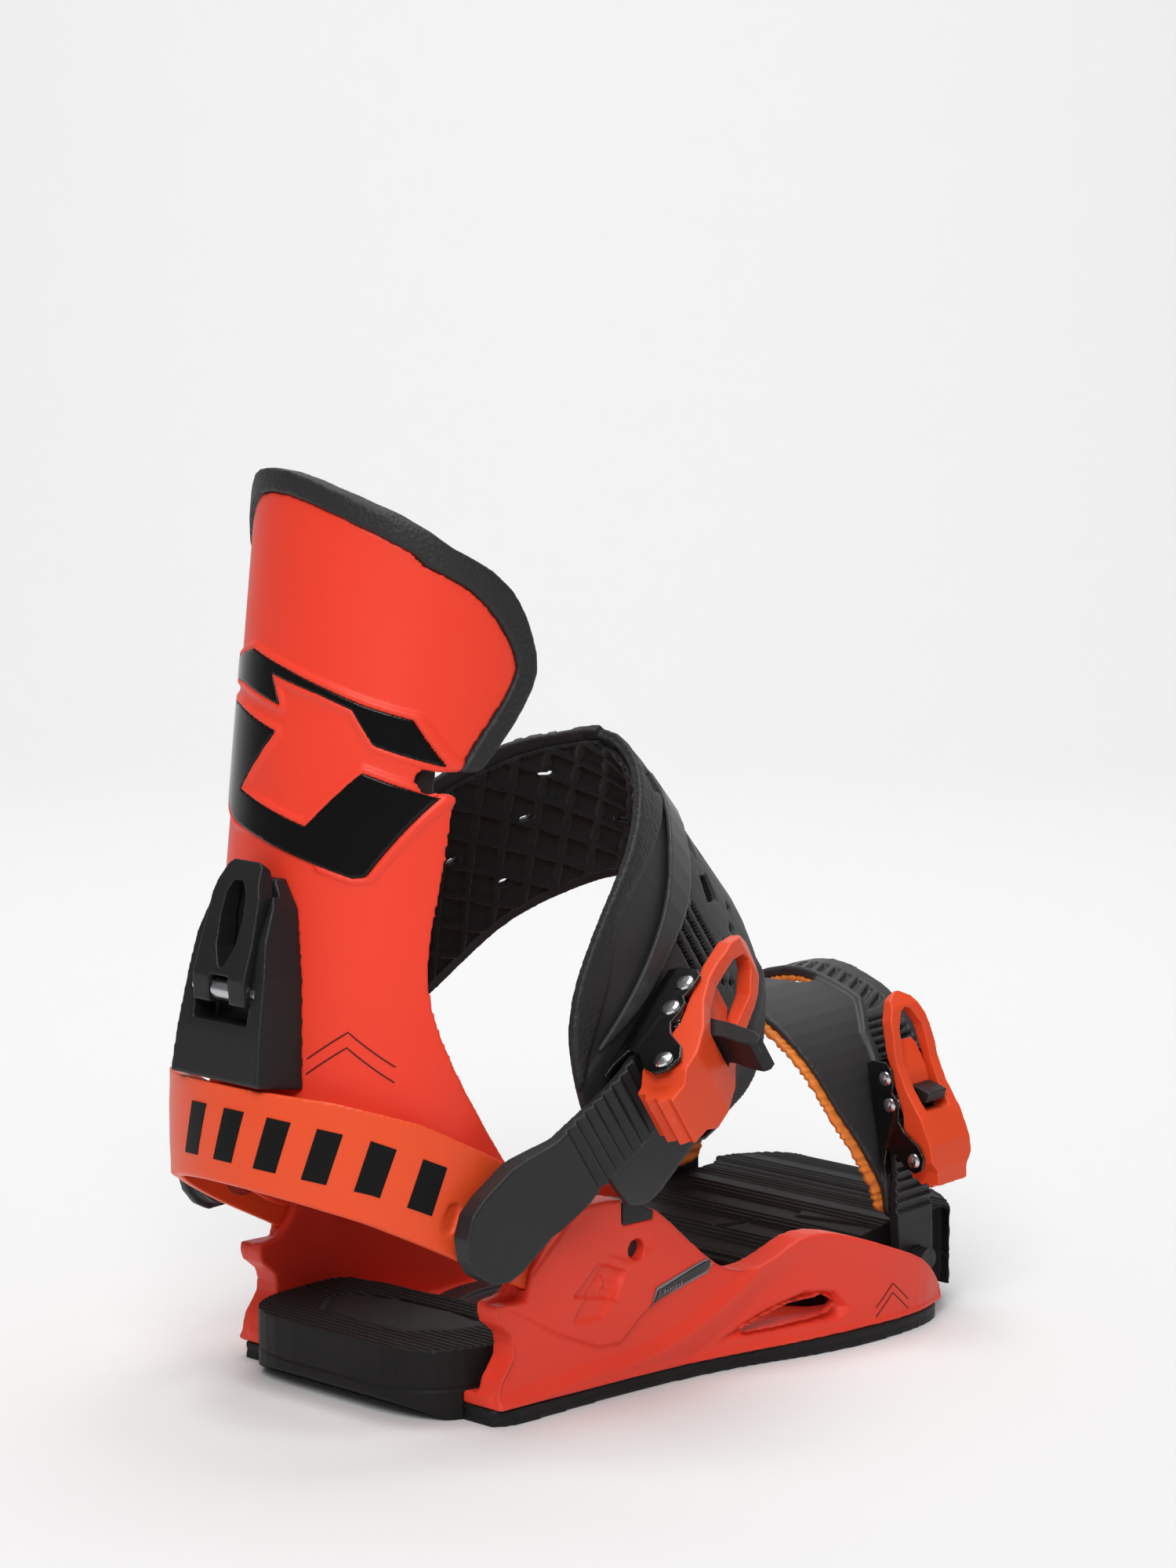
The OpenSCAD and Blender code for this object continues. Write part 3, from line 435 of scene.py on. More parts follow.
def cutter(name, front, back, mat):
    """A closed solid between two outlines of points in mm, to cut a hole with."""
    shape = bmesh.new()
    near, far = [[shape.verts.new(Vector(p) * MM) for p in ring] for ring in (front, back)]
    shape.faces.new(near)
    shape.faces.new(far[::-1])
    for k in range(len(near)):
        n = (k + 1) % len(near)
        shape.faces.new([near[n], near[k], far[k], far[n]])
    return add_piece(name, closed_mesh(name, shape), mat)


# ---------------------------------------------------------------- camera, floor and light

AZIMUTH, ELEVATION, DISTANCE = math.radians(-44.12), math.radians(8.05), 1.5
TARGET = Vector((0.00573, 0.0, 0.17655))
LENS, SENSOR = 110.7, 36.0
RIGHT = Vector((math.cos(AZIMUTH), math.sin(AZIMUTH), 0))
AHEAD = Vector((-math.sin(AZIMUTH), math.cos(AZIMUTH), 0))

# The sheet, in metres: half its size, where it starts to bend, the bend's radius and its top
SHEET_HALF, BEND_START, BEND, SHEET_TOP, BEND_STEPS = 8.0, 1.3, 1.0, 4.0, 16
PAPER, SKY = 0.79, 0.20
# name, place, aim, size and watts of each lamp, placed by (right, ahead, up) in metres
LAMPS = (("top", (0.0, 0.1, 2.3), (0, 0, 0.12), 1.8, 25),
         ("front", (-0.2, -2.0, 1.8), (0, 0, 0.12), 1.4, 42),
         ("sheet", (0.0, 0.9, 1.9), (0, 2.3, 0.5), 1.6, 17))


def make_camera():
    """The camera that matches the photograph's view."""
    data = bpy.data.cameras.new("camera")
    data.lens = LENS
    data.sensor_width = SENSOR
    camera = bpy.data.objects.new("camera", data)
    bpy.context.scene.collection.objects.link(camera)
    back = Vector((0, 0, math.sin(ELEVATION))) - AHEAD * math.cos(ELEVATION)
    camera.location = TARGET + back * DISTANCE
    camera.rotation_euler = back.to_track_quat("Z", "Y").to_euler()
    bpy.context.scene.camera = camera


def at(right, ahead, up):
    """A place to the right of the origin, ahead and up, in metres, as the camera looks."""
    return RIGHT * right + AHEAD * ahead + Vector((0, 0, up))


def make_sheet():
    """A white sheet that curves up behind the object."""
    turns = [math.pi / 2 * k / BEND_STEPS for k in range(1, BEND_STEPS + 1)]
    profile = [(-SHEET_HALF, 0.0), (BEND_START, 0.0)]
    profile += [(BEND_START + BEND * math.sin(t), BEND * (1 - math.cos(t))) for t in turns]
    profile.append((BEND_START + BEND, SHEET_TOP))
    shape = bmesh.new()
    left, right = [[shape.verts.new(at(side, v, z)) for v, z in profile]
                   for side in (-SHEET_HALF, SHEET_HALF)]
    for k in range(len(profile) - 1):
        shape.faces.new([left[k], right[k], right[k + 1], left[k + 1]])
    mesh = bpy.data.meshes.new("floor")
    shape.to_mesh(mesh)
    shape.free()
    pale = moulded("floor_paper", (PAPER, PAPER, PAPER), 0.9, 3.0, 0.01, 0.004, specular=0.1)
    shade_smooth(add_piece("floor", mesh, pale))


def make_light():
    """Big soft lamps and a dim white room."""
    world = bpy.data.worlds.new("studio")
    world.use_nodes = True
    sky = world.node_tree.nodes["Background"]
    sky.inputs["Color"].default_value = (1.0, 1.0, 1.0, 1)
    sky.inputs["Strength"].default_value = SKY
    bpy.context.scene.world = world
    bpy.context.scene.view_settings.view_transform = "Standard"
    for name, place, aim, size, watts in LAMPS:
        data = bpy.data.lights.new(name, "AREA")
        data.shape = "DISK"
        data.size = size
        data.energy = watts
        light = bpy.data.objects.new(name, data)
        bpy.context.scene.collection.objects.link(light)
        light.location = at(*place)
        toward = at(*aim) - light.location
        light.rotation_euler = toward.to_track_quat("-Z", "Y").to_euler()


make_camera()
make_sheet()
make_light()


# ---------------------------------------------------------------- base

WALL_Y = 53
# Outlines on the outside of the walls, in (x, z)
WING_PANEL = [(-86, 37), (-73, 30), (-64, 24.8), (-46, 17.3), (-37, 17.1), (-29, 23.6),
              (-21.6, 27.9), (-8.3, 32.2), (6, 36), (-8, 50), (-22, 64), (-80, 70)]
RIDGE_LINE = [(-85, 5.5), (-73, 6.3), (-54, 8.3), (-35, 9), (-20, 11), (-4.5, 16.5), (10, 24.3),
              (20.6, 32), (31, 36.8), (42, 38), (62, 32.5), (83, 24), (97, 16.5)]
RECESS = [(-57.2, 34.2), (-46.7, 42.9), (-35.2, 38.8), (-39, 30.3)]
UPPER_FACET = [(-44.5, 45), (-35.2, 50.1), (-21.6, 47.9), (-24, 43), (-33.5, 40.5)]
SCOOP = [(4.6, 9.9), (20.7, 16.1), (37.8, 20.8), (50.3, 18.9), (56.4, 12.7), (52.4, 9.7),
         (35.2, 10), (11.8, 10.2)]
SLIT = [(12, 12.4), (21, 15.2), (38, 19.2), (44.5, 15.4), (40, 12.6), (30, 11.9)]
SEAM = [(-56.4, 60.1), (-74.9, 43.6), (-83.4, 38.8)]
OVAL = (-44.5, 36.3)
# The wall's profile beside the ridge line: height over the line, and how far it stands out
RIDGE_PROFILE = [(-9, -1.6), (-1.2, 0.5), (0.4, 0.7), (4.5, -1.1), (9, -1.4)]
SLIT_SHIFT = 20


def shape_walls(co, normal):
    """Panels, ridge and scoop on the outside of the walls, the same on both sides."""
    flat = co[:, [0, 2]]
    outside = smooth_step(np.abs(normal[:, 1]), 0.35, 0.8) * (normal[:, 1] * co[:, 1] > 0)
    outside = outside * (np.abs(co[:, 1]) > WALL_Y)
    panel = smooth_step(to_edge(flat, WING_PANEL), -1.4, 0.8)
    above = co[:, 2] - np.interp(co[:, 0], *np.array(RIDGE_LINE).T)
    slope = np.interp(above, *np.array(RIDGE_PROFILE).T)
    toe_wing = smooth_step(co[:, 0], 24, 40)
    slope = slope * (1 - 0.5 * toe_wing)
    scoop = -3.4 * smooth_step(to_edge(flat, SCOOP), -0.8, 2.6)
    recess = -1.2 * smooth_step(to_edge(flat, RECESS), -0.3, 0.3)
    oval = 0.8 * smooth_step(np.hypot(co[:, 0] - OVAL[0], (co[:, 2] - OVAL[1]) / 1.8), 1.4, 0.8)
    facet = -0.5 * smooth_step(to_edge(flat, UPPER_FACET), 0, 1.5)
    seam = -0.6 * hill(to_line(flat, SEAM), 0, 0.9)
    lip = 0.7 * smooth_step(co[:, 2], 7.5, 5.5)
    depth = slope * (1 - panel) + scoop + recess + oval + facet + seam + lip
    move = np.zeros_like(co)
    move[:, 1] = np.sign(co[:, 1]) * outside * np.clip(depth, -4.0, 0.8)
    return move


def slit(name, near, far):
    """A cutter for the slit that runs from Y near to Y far and slants towards the toe."""
    return cutter(name, [(x, near, z) for x, z in SLIT],
                  [(x + SLIT_SHIFT, far, z) for x, z in SLIT], BASE)


base = copy_of("base_moulding", "baseplate", BASE)
cut(base, slit("slit_lateral", -72, -50), slit("slit_medial", 72, 50))
soften(base, 0.62, 3)
sculpt(base, shape_walls)
settle(lighten(base, 0.6), "base", "orange_nylon", "baseplate")


def on_wall(x, z, out=0.0):
    """A point on the outside of the lateral wall."""
    hit, place, normal, face = base.ray_cast(Vector((x, -90, z)) * MM, Vector((0, 1, 0)))
    return place.x / MM, place.y / MM - out, place.z / MM


BADGE_CORNERS = [(-25, 25.6), (-22.8, 31.4), (0.2, 38.0), (-0.6, 32.4)]
BADGE_FACE = [(-23.6, 26.8), (-22.2, 30.4), (-1.0, 36.8), (-1.5, 33.2)]
settle(slab("wing_badge", BADGE_CORNERS, on_wall, -0.6, 0.35, BADGE, 1.2), "base", "black_nylon")
settle(slab("wing_badge_face", BADGE_FACE, on_wall, -0.4, 0.6, GLOSS, 1.2), "base",
       "black_nylon")
for k, low in enumerate((7.5, 10.5)):
    track = line_up([(68, low), (76, low + 6.5), (84, low)], on_wall)
    settle(sweep(f"wing_chevron_{k + 1}", track, 0.22, LINE), "base", "black_nylon")


def sole_shape(co, normal):
    """A groove round the outer side of the sole."""
    side = smooth_step(np.abs(normal[:, 2]), 0.7, 0.3) * (np.hypot(co[:, 0], co[:, 1]) > 45)
    return -0.35 * side * hill(co[:, 2], 2.5, 0.9)


sole = rebuilt("sole_gasket", "sole_dampener", SOLE, 0.8, 3, sole_shape)
settle(sole, "base", "sole_rubber", "sole_dampener")


def comb(phase, pitch, depth):
    """Round ribs with grooves of this depth between them."""
    return -depth * (0.5 - 0.5 * np.cos(2 * np.pi * phase / pitch)) ** 1.3


def tread(co, normal, low, rib):
    """The relief rib(co) on the faces that look up and lie above low."""
    top = smooth_step(normal[:, 2], 0.55, 0.9) * (co[:, 2] > low)
    return top * rib(co)


HEEL_TOP, TOE_TOP, RAMP_TOP = 18, 15, 24
HEEL_PITCH, WEAVE_PITCH = 2.6, 2.2
TOE_PITCH, GROUP_PITCH, GROUP_START = 2.33, 14, 73.5
HEEL_LEAF = [(-86.6, 21), (-74, 31), (-66, 28.8), (-61.8, 12.9), (-60.3, -8.5), (-63.2, -29.1),
             (-74.5, -26), (-87, -15.4), (-88.9, 3.6)]


def heel_ribs(co):
    """Cross ribs, and a woven leaf in the middle of the heel."""
    ribs = comb(co[:, 0], HEEL_PITCH, 0.9)
    leaf = to_edge(co[:, :2], HEEL_LEAF)
    one, two = (2 * np.pi * (co[:, 0] + sign * co[:, 1]) / WEAVE_PITCH for sign in (1, -1))
    weave = -0.25 * (0.5 + 0.5 * np.cos(one) * np.cos(two)) - 0.35
    edge = smooth_step(leaf, -0.4, 0.4)
    lip = -0.8 * hill(leaf, 0, 1.1)
    cross = -0.7 * hill(co[:, 0] + 0.35 * co[:, 1], -57, 1.2) * (co[:, 1] > 8)
    return ribs * (1 - edge) + weave * edge + lip + cross


def heel_shape(co, normal):
    """The ribbed top and a seam round the side."""
    side = smooth_step(np.abs(normal[:, 2]), 0.7, 0.3)
    seam = -0.5 * side * hill(co[:, 2], 9.5 + 0.02 * (co[:, 0] + 100), 0.7)
    return tread(co, normal, HEEL_TOP, heel_ribs) + seam


heel = rebuilt("heel_cushion", "heel_pad", TREAD, 0.42, 4, heel_shape, 0.95)
settle(heel, "base", "sole_rubber", "heel_pad")


TOE_PLATE = [(83.7, -15.8), (90.9, -14.1), (95.6, -32.2), (88.3, -44.9)]
TOE_SLOT = [(66, 3.5), (70, -1), (75.5, -5.5)]


def toe_ribs(co):
    """Groups of three ribs with sunk flats between them, a small plate and a slot."""
    phase = np.mod(co[:, 0] - GROUP_START, GROUP_PITCH)
    group = smooth_step(phase, -0.2, 0.3) * smooth_step(phase, 7.4, 6.8)
    ribs = comb(phase, TOE_PITCH, 0.8)
    plate = to_edge(co[:, :2], TOE_PLATE)
    flat = -0.75 + 0.6 * smooth_step(plate, -0.3, 0.3) - 0.5 * hill(plate, 0, 0.9)
    slot = to_line(co[:, :2], TOE_SLOT)
    return ribs * group + flat * (1 - group) - 0.8 * smooth_step(slot, 1.4, 0.8)


def toe_shape(co, normal):
    """The ribs on the toe pad's top."""
    return tread(co, normal, TOE_TOP, toe_ribs)


toe = rebuilt("toe_cushion", "toe_pad", TREAD, 0.48, 3, toe_shape, 0.8)
settle(toe, "base", "sole_rubber", "toe_pad")


def ramp_shape(co, normal):
    """The same ribs on the ramp, and a seam and slanted waves on its front."""
    side = smooth_step(np.abs(normal[:, 2]), 0.7, 0.3) * (co[:, 0] > 116)
    seam = -0.6 * side * hill(co[:, 2], 21 + 0.06 * co[:, 1], 0.9)
    slant = -0.35 * side * (0.5 + 0.5 * np.cos(2 * np.pi * (co[:, 2] + 0.4 * co[:, 1]) / 7))
    return tread(co, normal, RAMP_TOP, toe_ribs) + seam + slant


ramp = rebuilt("ramp_cushion", "toe_ramp", TREAD, 0.6, 4, ramp_shape, 0.7)
settle(ramp, "ramp", "sole_rubber", "toe_ramp")


TICKS, TICK_R, HUB_R = 60, 43.2, 9


def disc_shape(co, normal):
    """Ticks round the disc's edge and a groove round its hub."""
    radius = np.hypot(co[:, 0], co[:, 1])
    angle = np.arctan2(co[:, 1], co[:, 0])
    top = smooth_step(normal[:, 2], 0.6, 0.9)
    ticks = (0.5 + 0.5 * np.cos(angle * TICKS)) * hill(radius, TICK_R, 1.6)
    hub = hill(radius, HUB_R, 2.0)
    return top * (-0.5 * ticks - 0.6 * hub)


disc = rebuilt("disc_moulding", "mounting_disc", BLACK, 0.6, 2, disc_shape, 0.7)
settle(disc, "disc", "black_nylon", "mounting_disc")

for side in ("lateral", "medial"):
    insert = rebuilt("wing_cap_" + side, "wing_insert_" + side, BLACK, 0.3, 3)
    settle(insert, "base", "black_nylon", "wing_insert_" + side)


# ---------------------------------------------------------------- heel loop

LOOP_CENTRE = -90.0
LOOP_R = 56.7
# The middle of the loop's band, in (x, z)
LOOP_LINE = [(-152, 90.7), (-125, 82), (-100, 70.5), (-72, 54.5), (-46, 41)]


def loop_height(x):
    """Middle of the loop's band at a given X."""
    return np.interp(x, *np.array(LOOP_LINE).T)


def loop_shape(co, normal):
    """The band is a little thinner towards its upper and lower edges."""
    outward = np.maximum(0, normal[:, 1] * np.sign(co[:, 1])) + np.maximum(0, -normal[:, 0])
    band = co[:, 2] - loop_height(co[:, 0])
    return -0.25 * smooth_step(outward, 0.5, 0.9) * smooth_step(np.abs(band), 5, 13)


loop = rebuilt("loop_moulding", "heel_loop", LOOP, 0.6, 3, loop_shape, 0.6)
settle(loop, "base", "loop_nylon", "heel_loop")


def on_loop(s, h, out):
    """A point on the loop's outside: s is the way round from the back, towards lateral."""
    angle = s / LOOP_R
    if angle < math.pi / 2:
        x = LOOP_CENTRE - (LOOP_R + out) * math.cos(angle)
        y = -(LOOP_R + out) * math.sin(angle)
    else:
        x = LOOP_CENTRE + (s - LOOP_R * math.pi / 2)
        y = -(LOOP_R + out)
    return x, y, float(loop_height(x)) + h


BAR_PITCH, BAR_WIDE, BAR_HALF, BAR_LEAN = 15.5, 7.5, 8.0, 5.0
for k in range(6):
    start = (k - 1) * BAR_PITCH
    outline = [(start, -BAR_HALF), (start + BAR_WIDE, -BAR_HALF),
               (start + BAR_WIDE + BAR_LEAN, BAR_HALF), (start + BAR_LEAN, BAR_HALF)]
    bar = slab(f"loop_bar_{k + 1}", outline, on_loop, -0.2, 0.18, PRINT, 1.5)
    settle(bar, "base", "black_nylon")


# ---------------------------------------------------------------- highback

HB_FOOT, HB_LEAN, HB_R = (-95.6, 0, 0), 6.6, 48.7
PAD_R = HB_R - 4.2
CHANNEL_PITCH = 16
BLOCK_HALF, BLOCK_TOP = 17, 169
to_highback, from_highback = slope_frame(HB_FOOT, -HB_LEAN)


def on_shell(y, z):
    """A point on the highback's outside, at a given sideways place and height."""
    return from_highback([-math.sqrt(HB_R * HB_R - y * y), y, z])


# Outlines of the two inlays, in the highback's own (y, z)
UPPER = [(35, 219), (15, 223.5), (-2, 219), (-16.5, 214.5), (-28, 210.5), (-38.5, 207.5),
         (-44.5, 194.5), (-38.5, 196.6), (-31, 199.2), (-25, 209), (-15, 212.5), (3.5, 217),
         (-1, 208), (20, 213.2), (35, 214)]
LOWER = [(35, 207.5), (21.5, 206), (0, 200.3), (16.5, 181.8), (-14, 173.7), (-28.8, 191),
         (-43.8, 185.5), (-31.5, 161), (-28.5, 160.3), (-15, 164), (3, 168.6), (19, 172.3),
         (35, 179)]


def shell_shape(co, normal):
    """Raised borders round the inlays, on the outside of the highback."""
    q = to_highback(co)
    radial = np.hypot(q[:, 0], q[:, 1])
    outer = (radial > HB_R - 1.2) & (q[:, 0] < 0)
    flat = q[:, 1:]
    near = np.maximum(to_edge(flat, UPPER), to_edge(flat, LOWER))
    # no border where the lean block slides
    clear = smooth_step(np.maximum(np.abs(q[:, 1]) - BLOCK_HALF, q[:, 2] - BLOCK_TOP), 0, 2)
    return outer * clear * 0.9 * smooth_step(near, -2.6, -1.2) * smooth_step(near, 0.3, -0.3)


shell = rebuilt("highback_moulding", "highback_shell", SHELL, 0.7, 3, shell_shape, 0.6)
settle(shell, "highback", "orange_nylon", "highback_shell")

rim = rebuilt("rim_moulding", "highback_rim", RIM, 0.65, 12, keep=0.6)
settle(rim, "highback", "rim_rubber", "highback_rim")


def pad_shape(co, normal):
    """Sewn chevron channels on the inside of the pad."""
    q = to_highback(co)
    inner = np.hypot(q[:, 0], q[:, 1]) < PAD_R
    cell = np.abs(np.mod(q[:, 2] + 0.9 * np.abs(q[:, 1]), CHANNEL_PITCH) - CHANNEL_PITCH / 2)
    return inner * -0.9 * hill(cell, 0, 1.6)


pad = rebuilt("highback_cushion", "highback_pad", FOAM, 0.8, 5, pad_shape, 0.6)
settle(pad, "highback", "strap_foam", "highback_pad")

for name in ("upper_inlay", "lower_inlay"):
    settle(rebuilt(name + "_film", name, FILM, 0.4, 1), "highback", "inlay_film", name)

for k, low in enumerate((102, 106.5)):
    track = line_up([(-20, low), (-30, low + 9), (-40, low)], on_shell)
    settle(sweep(f"highback_chevron_{k + 1}", track, 0.26, LINE), "highback", "inlay_film")


# ---------------------------------------------------------------- forward lean adjuster

block = rebuilt("lean_housing", "lean_block", BLACK, 0.5, 4, keep=0.6)
settle(block, "lean_adjuster", "black_nylon", "lean_block")
catch = rebuilt("lean_catch", "lean_lever", BLACK, 0.4, 3, keep=0.6)
settle(catch, "lean_lever", "black_nylon", "lean_lever")


# ---------------------------------------------------------------- straps

to_ankle, from_ankle = slope_frame((-92, 0, 60), 41)
to_toe = slope_frame((99, 0, 20), 94)[0]
# Half of each strap's path in its own (u, v), mirrored at the crest
ANKLE_PATH = flow(arch([(40, -64.5), (58, -64), (76, -62.3), (97, -57.3), (120, -49),
                        (142, -35.5), (158, -19.5), (166, 0)]), 3)
TOE_PATH = flow(arch([(13, -50.6), (30, -50.6), (45, -49.6), (60, -45), (72, -36),
                      (81, -21.5), (86, 0)]), 3)

# Rear side of the ankle strap's smooth leaf panel, in (u, w)
LEAF_EDGE = [(40, 0), (52, 8), (60, 13), (70, 17), (81, 21), (91, 26), (101, 28.5), (114, 27),
             (139, 20), (150, 17), (175, 15)]
# Slots in the outer side as (u, upper w, lower w), and small pits as (u, w)
SLOTS = [(130.5, -2.0, -21.5), (125.2, -0.6, -19.0), (119.9, 0.2, -16.5), (114.4, 1.0, -13.0)]
PITS = [(148.8, -27), (141.8, -28), (133, -24), (121, -27), (124, -31), (112.5, -31),
        (128.3, -39), (118, -41), (107, -38), (137, -36), (101, -29)]
SLOT_LEAN = 0.16
NOTCHES, NOTCH_PITCH, NOTCH_START = 5, 3.0, 10.5
LATTICE, LATTICE_LEAN = 13, 0.8


def lattice(s, w):
    """Distance from the middle lines of crossing bars, along the strap (s) and across it (w)."""
    return np.minimum(np.abs(np.mod(s + LATTICE_LEAN * w, LATTICE) - LATTICE / 2),
                      np.abs(np.mod(s - LATTICE_LEAN * w, LATTICE) - LATTICE / 2))


def ankle_shape(co, normal):
    """Leaf panel, slots, pits and notches on the near side, and a lattice on the far side."""
    q = to_ankle(co)
    s, out = along_path(q[:, :2], ANKLE_PATH)
    outer = smooth_step(out, -1.6, -0.5)
    u, w = q[:, 0], q[:, 2]
    near = smooth_step(s, 8, -4)
    over = w - np.interp(u, *np.array(LEAF_EDGE).T)
    hide = 1.1 * smooth_step(over, 0.0, 2.4) - 0.5 * smooth_step(over, 6, 14)
    leaf = -0.7 * smooth_step(over, 0.2, -0.8) * smooth_step(w, 8, 10)
    slots = np.zeros_like(s)
    for spot, high, low in SLOTS:
        line = np.abs(u - (spot + SLOT_LEAN * (w + 1)))
        slots -= 2.4 * smooth_step(line, 1.7, 1.1) * (w < high) * (w > low)
    pits = np.zeros_like(s)
    for spot, row in PITS:
        pits -= 2.0 * smooth_step(np.maximum(np.abs(u - spot), np.abs(w - row)), 1.7, 1.2)
    notches = np.zeros_like(s)
    for k in range(NOTCHES):
        line = np.abs(w - (NOTCH_START - NOTCH_PITCH * k) - 0.45 * (s + 27))
        notches -= 1.8 * smooth_step(line, 1.1, 0.6) * (s > -34) * (s < -21)
    edge = -40 - 0.15 * (u - 120)
    front = 0.9 * hill(w, edge - 6, 5) * (u > 84) * (u < 150)
    far_side = -1.0 * smooth_step(lattice(s, w), 1.3, 2.2) * smooth_step(s, 4, 14)
    return outer * ((hide + leaf + slots + pits + notches + front) * near + far_side)


# A see-through hole's outline, as (across the strap, along the strap), and half its depth
DIAMOND = [(1.5, 0.8), (1.1, 2.6), (0, 2.4), (-1.5, -0.8), (-1.1, -2.6), (0, -2.4)]
DEPTH = 12
TO_CREST, TO_SIDE, SIDE_V = (0.94, 0.34), (0.35, 0.94), 24


def diamond(name, u, v, w):
    """A cutter through the strap's thickness, which turns from the crest to the side."""
    out = TO_SIDE if v > SIDE_V else TO_CREST
    ends = [[from_ankle((u + out[0] * depth - out[1] * b, v + out[1] * depth + out[0] * b, w + a))
             for a, b in DIAMOND] for depth in (-DEPTH, DEPTH)]
    return cutter(name, ends[0], ends[1], STRAP)


# See-through holes in the far half of the ankle strap, in (u, v, w)
HOLES = [(142, 28.7, 12), (119.1, 43.6, 14), (158.1, 9, -3.6), (128, 40, -4), (150, 20, 24)]


def holed(piece):
    """Cuts the see-through holes."""
    return cut(piece, *[diamond(f"{piece.name}_{k}", *spot) for k, spot in enumerate(HOLES)])


ankle_shell = holed(copy_of("ankle_moulding", "ankle_strap_shell", STRAP))
soften(ankle_shell, 0.55, 8)
sculpt(ankle_shell, ankle_shape)
lighten(ankle_shell, 0.6)


def ankle_finish(co):
    """1 on the grained edge of the pad, 2 (painted shade) inside its slots, pits and cells."""
    q = to_ankle(co)
    s, out = along_path(q[:, :2], ANKLE_PATH)
    over = q[:, 2] - np.interp(q[:, 0], *np.array(LEAF_EDGE).T)
    hide = (over > 0.6) & (q[:, 1] < 6)
    # faces inside the slots, pits and cells, which get painted shade
    shaded_hollows = (out < -1.0) & (out > -2.9) & (q[:, 1] < 4) & (q[:, 0] > 98) & (q[:, 2] < 12)
    return np.where(shaded_hollows, 2, np.where(hide, 1, 0))


finishes(ankle_shell, (HIDE, SHADE), ankle_finish)
settle(ankle_shell, "ankle_strap", "strap_rubber", "ankle_strap_shell")


def liner_shape(co, normal):
    """A lattice of sunk cells on the inside of the ankle liner."""
    q = to_ankle(co)
    s, out = along_path(q[:, :2], ANKLE_PATH)
    inner = smooth_step(out, -4.2, -4.9)
    return -1.3 * inner * smooth_step(lattice(s, q[:, 2]), 1.0, 2.0)


liner = holed(copy_of("ankle_liner", "ankle_strap_liner", FOAM))
soften(liner, 0.6, 4)
sculpt(liner, liner_shape)
settle(lighten(liner, 0.6), "ankle_strap", "strap_foam", "ankle_strap_liner")

rib = rebuilt("ankle_ridge", "ankle_strap_rib", RIDGE, 0.4, 6)
settle(rib, "ankle_strap", "strap_rubber", "ankle_strap_rib")

for name, node, body, mat, slot, voxel, passes in (
        ("ankle_paddle", "ankle_ladder", "ankle_strap", LADDER, "ladder_polymer", 0.45, 2),
        ("toe_paddle", "toe_ladder", "toe_strap", LADDER, "ladder_polymer", 0.4, 2),
        ("ankle_link", "ankle_connector", "ankle_strap", STRAP, "strap_rubber", 0.6, 4),
        ("toe_link", "toe_connector", "toe_strap", STRAP, "strap_rubber", 0.5, 4)):
    settle(rebuilt(name, node, mat, voxel, passes, keep=0.7), body, slot, node)


# The toe strap's ridge: distance from the crest, and where the ridge runs in w
TOE_RIDGE = [(0, -9), (14, -9.5), (26, -10), (40, 0), (50, 2), (58, 4), (68, 6), (79, 7), (92, 8)]
CREST_PITCH, SIDE_PITCH = 5.0, 2.9


def toe_strap_shape(co, normal):
    """A ridge along the strap, ribs on its crest and slots beside it."""
    q = to_toe(co)
    s, out = along_path(q[:, :2], TOE_PATH)
    outer = smooth_step(out, -1.4, -0.4)
    w = q[:, 2]
    behind = w - np.interp(np.abs(s), *np.array(TOE_RIDGE).T)
    ridge = 0.7 * hill(behind, 0, 1.6) - 0.5 * smooth_step(behind, 1.0, 2.0)
    crest = smooth_step(np.abs(s), 33, 30) * smooth_step(behind, -1.4, -2.2)
    crest = crest * smooth_step(w, -19.5, -18.5)
    phase = np.mod(s + 0.5 * w, CREST_PITCH) - CREST_PITCH / 2
    crest_ribs = -1.4 * smooth_step(np.abs(phase), 1.5, 0.9)
    side = smooth_step(np.abs(s), 35, 37) * smooth_step(np.abs(s), 53, 51)
    side = side * smooth_step(behind, -2.2, -3.0) * smooth_step(w, -19, -18)
    phase = np.mod(s, SIDE_PITCH) - SIDE_PITCH / 2
    side_slots = -2.0 * smooth_step(np.abs(phase), 0.95, 0.45)
    return outer * (ridge + crest_ribs * crest + side_slots * side)


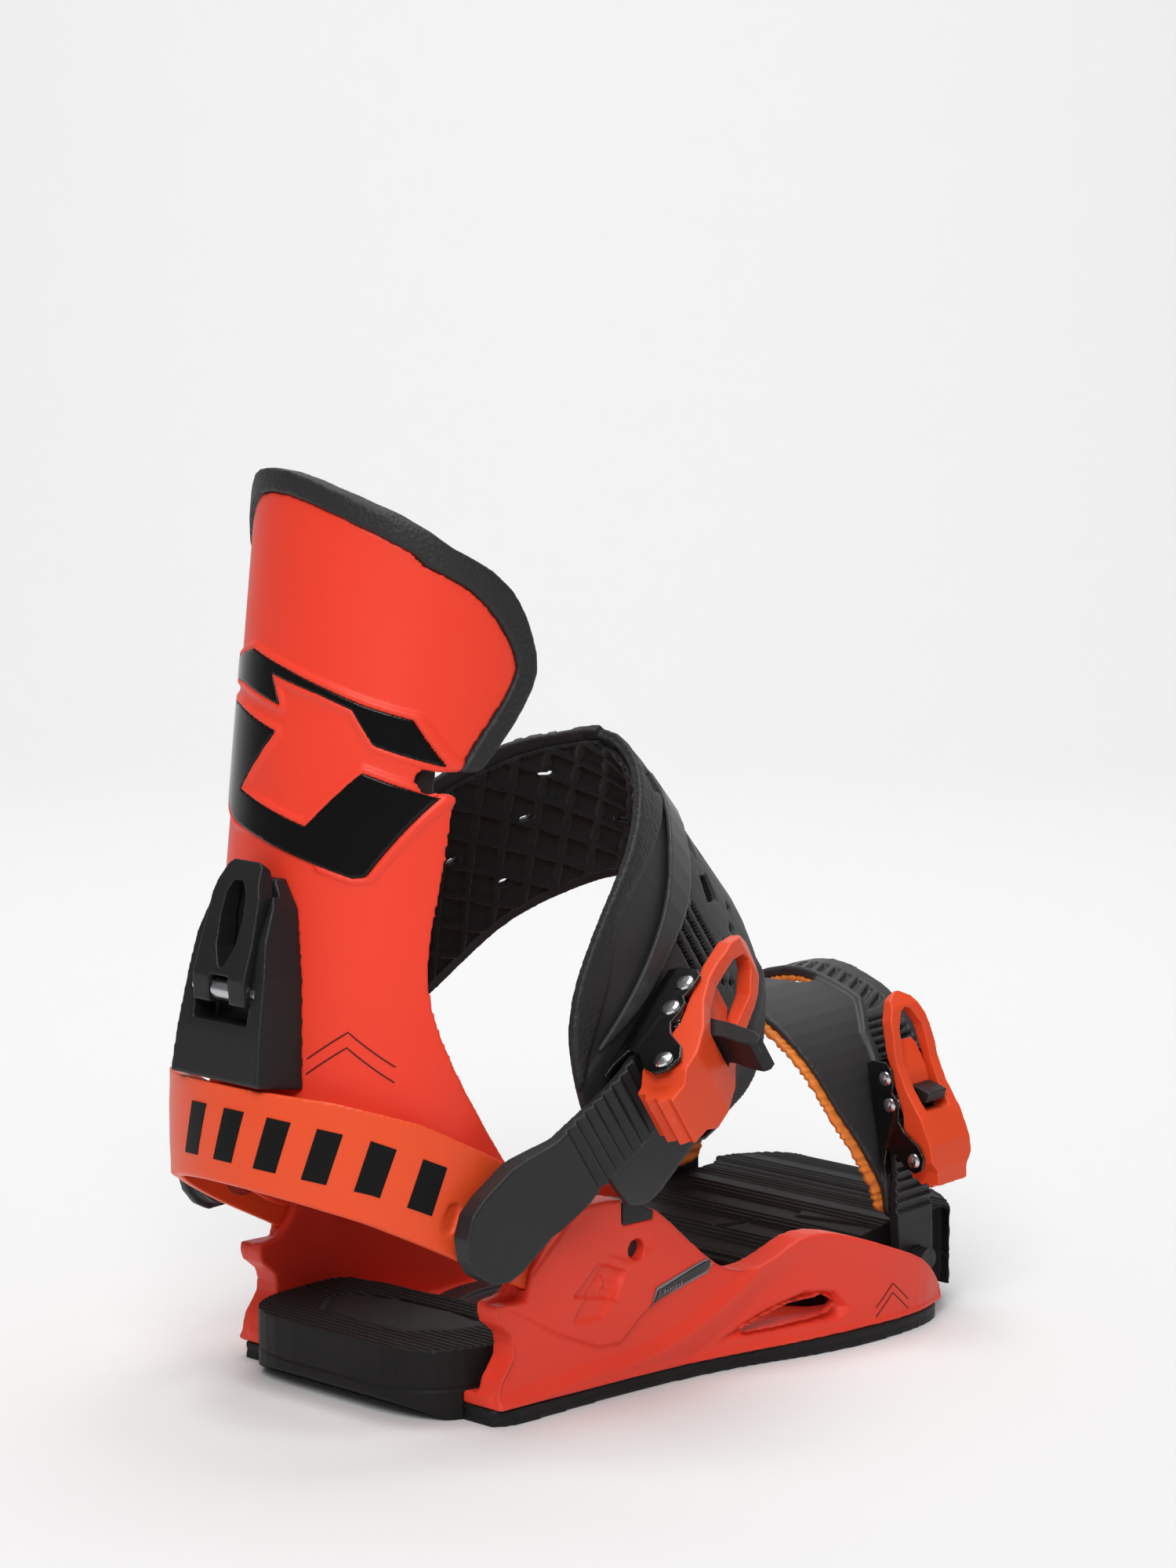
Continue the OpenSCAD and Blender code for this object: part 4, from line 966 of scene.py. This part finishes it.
toe_shell = rebuilt("toe_moulding", "toe_strap_shell", STRAP, 0.5, 12, toe_strap_shape, 0.6)
settle(toe_shell, "toe_strap", "strap_rubber", "toe_strap_shell")


def wrinkles(co, normal):
    """Uneven creases across the soft liner."""
    q = to_toe(co)
    s, out = along_path(q[:, :2], TOE_PATH)
    return np.sin(s * 1.9 + 1.7 * np.sin(s * 0.53)) * 0.28 + np.sin(s * 0.9 + q[:, 2]) * 0.12


toe_liner = rebuilt("toe_liner", "toe_strap_liner", EDGE, 0.6, 5, wrinkles, 0.6)
settle(toe_liner, "toe_strap", "orange_foam", "toe_strap_liner")


# ---------------------------------------------------------------- ratchet buckles

for kind, voxel in (("ankle", 0.36), ("toe", 0.32)):
    lever, pawl, frame_node = (kind + part for part in
                               ("_buckle_lever", "_buckle_pawl", "_buckle_frame"))
    settle(rebuilt(kind + "_handle", lever, LEVER, voxel, 11, keep=0.6),
           kind + "_lever", "lever_alloy", lever)
    settle(rebuilt(kind + "_catch", pawl, LEVER, voxel * 0.7, 2),
           kind + "_pawl", "lever_alloy", pawl)
    settle(rebuilt(kind + "_plates", frame_node, GLOSS, voxel * 0.8, 3, keep=0.6),
           kind + "_strap", "buckle_plate", frame_node)

for kind, node, voxel in (("ankle", "ankle_release_tab", 0.28), ("toe", "toe_release_tip", 0.25)):
    settle(rebuilt(kind + "_tab", node, BLACK, voxel, 3), kind + "_pawl", "black_nylon", node)


# ---------------------------------------------------------------- CAD hardware

HARDWARE = {
    STEEL: ["heel_loop_screws", "ankle_pivot_bolts", "highback_pivot_bolts", "lean_clamp_screw",
            "lean_nut_plate", "lean_lever_pin", "ankle_connector_screw", "toe_connector_screw"],
    RIVET: ["ankle_buckle_rivets", "toe_buckle_rivets"],
    WIRE: ["ankle_pawl_spring", "toe_pawl_spring"],
    BLACK: ["ankle_pivot_washers", "wing_plugs", "toe_pivot_bolts"],
}
for mat, names in HARDWARE.items():
    for name in names:
        NODES[name].material_slots[0].material = mat
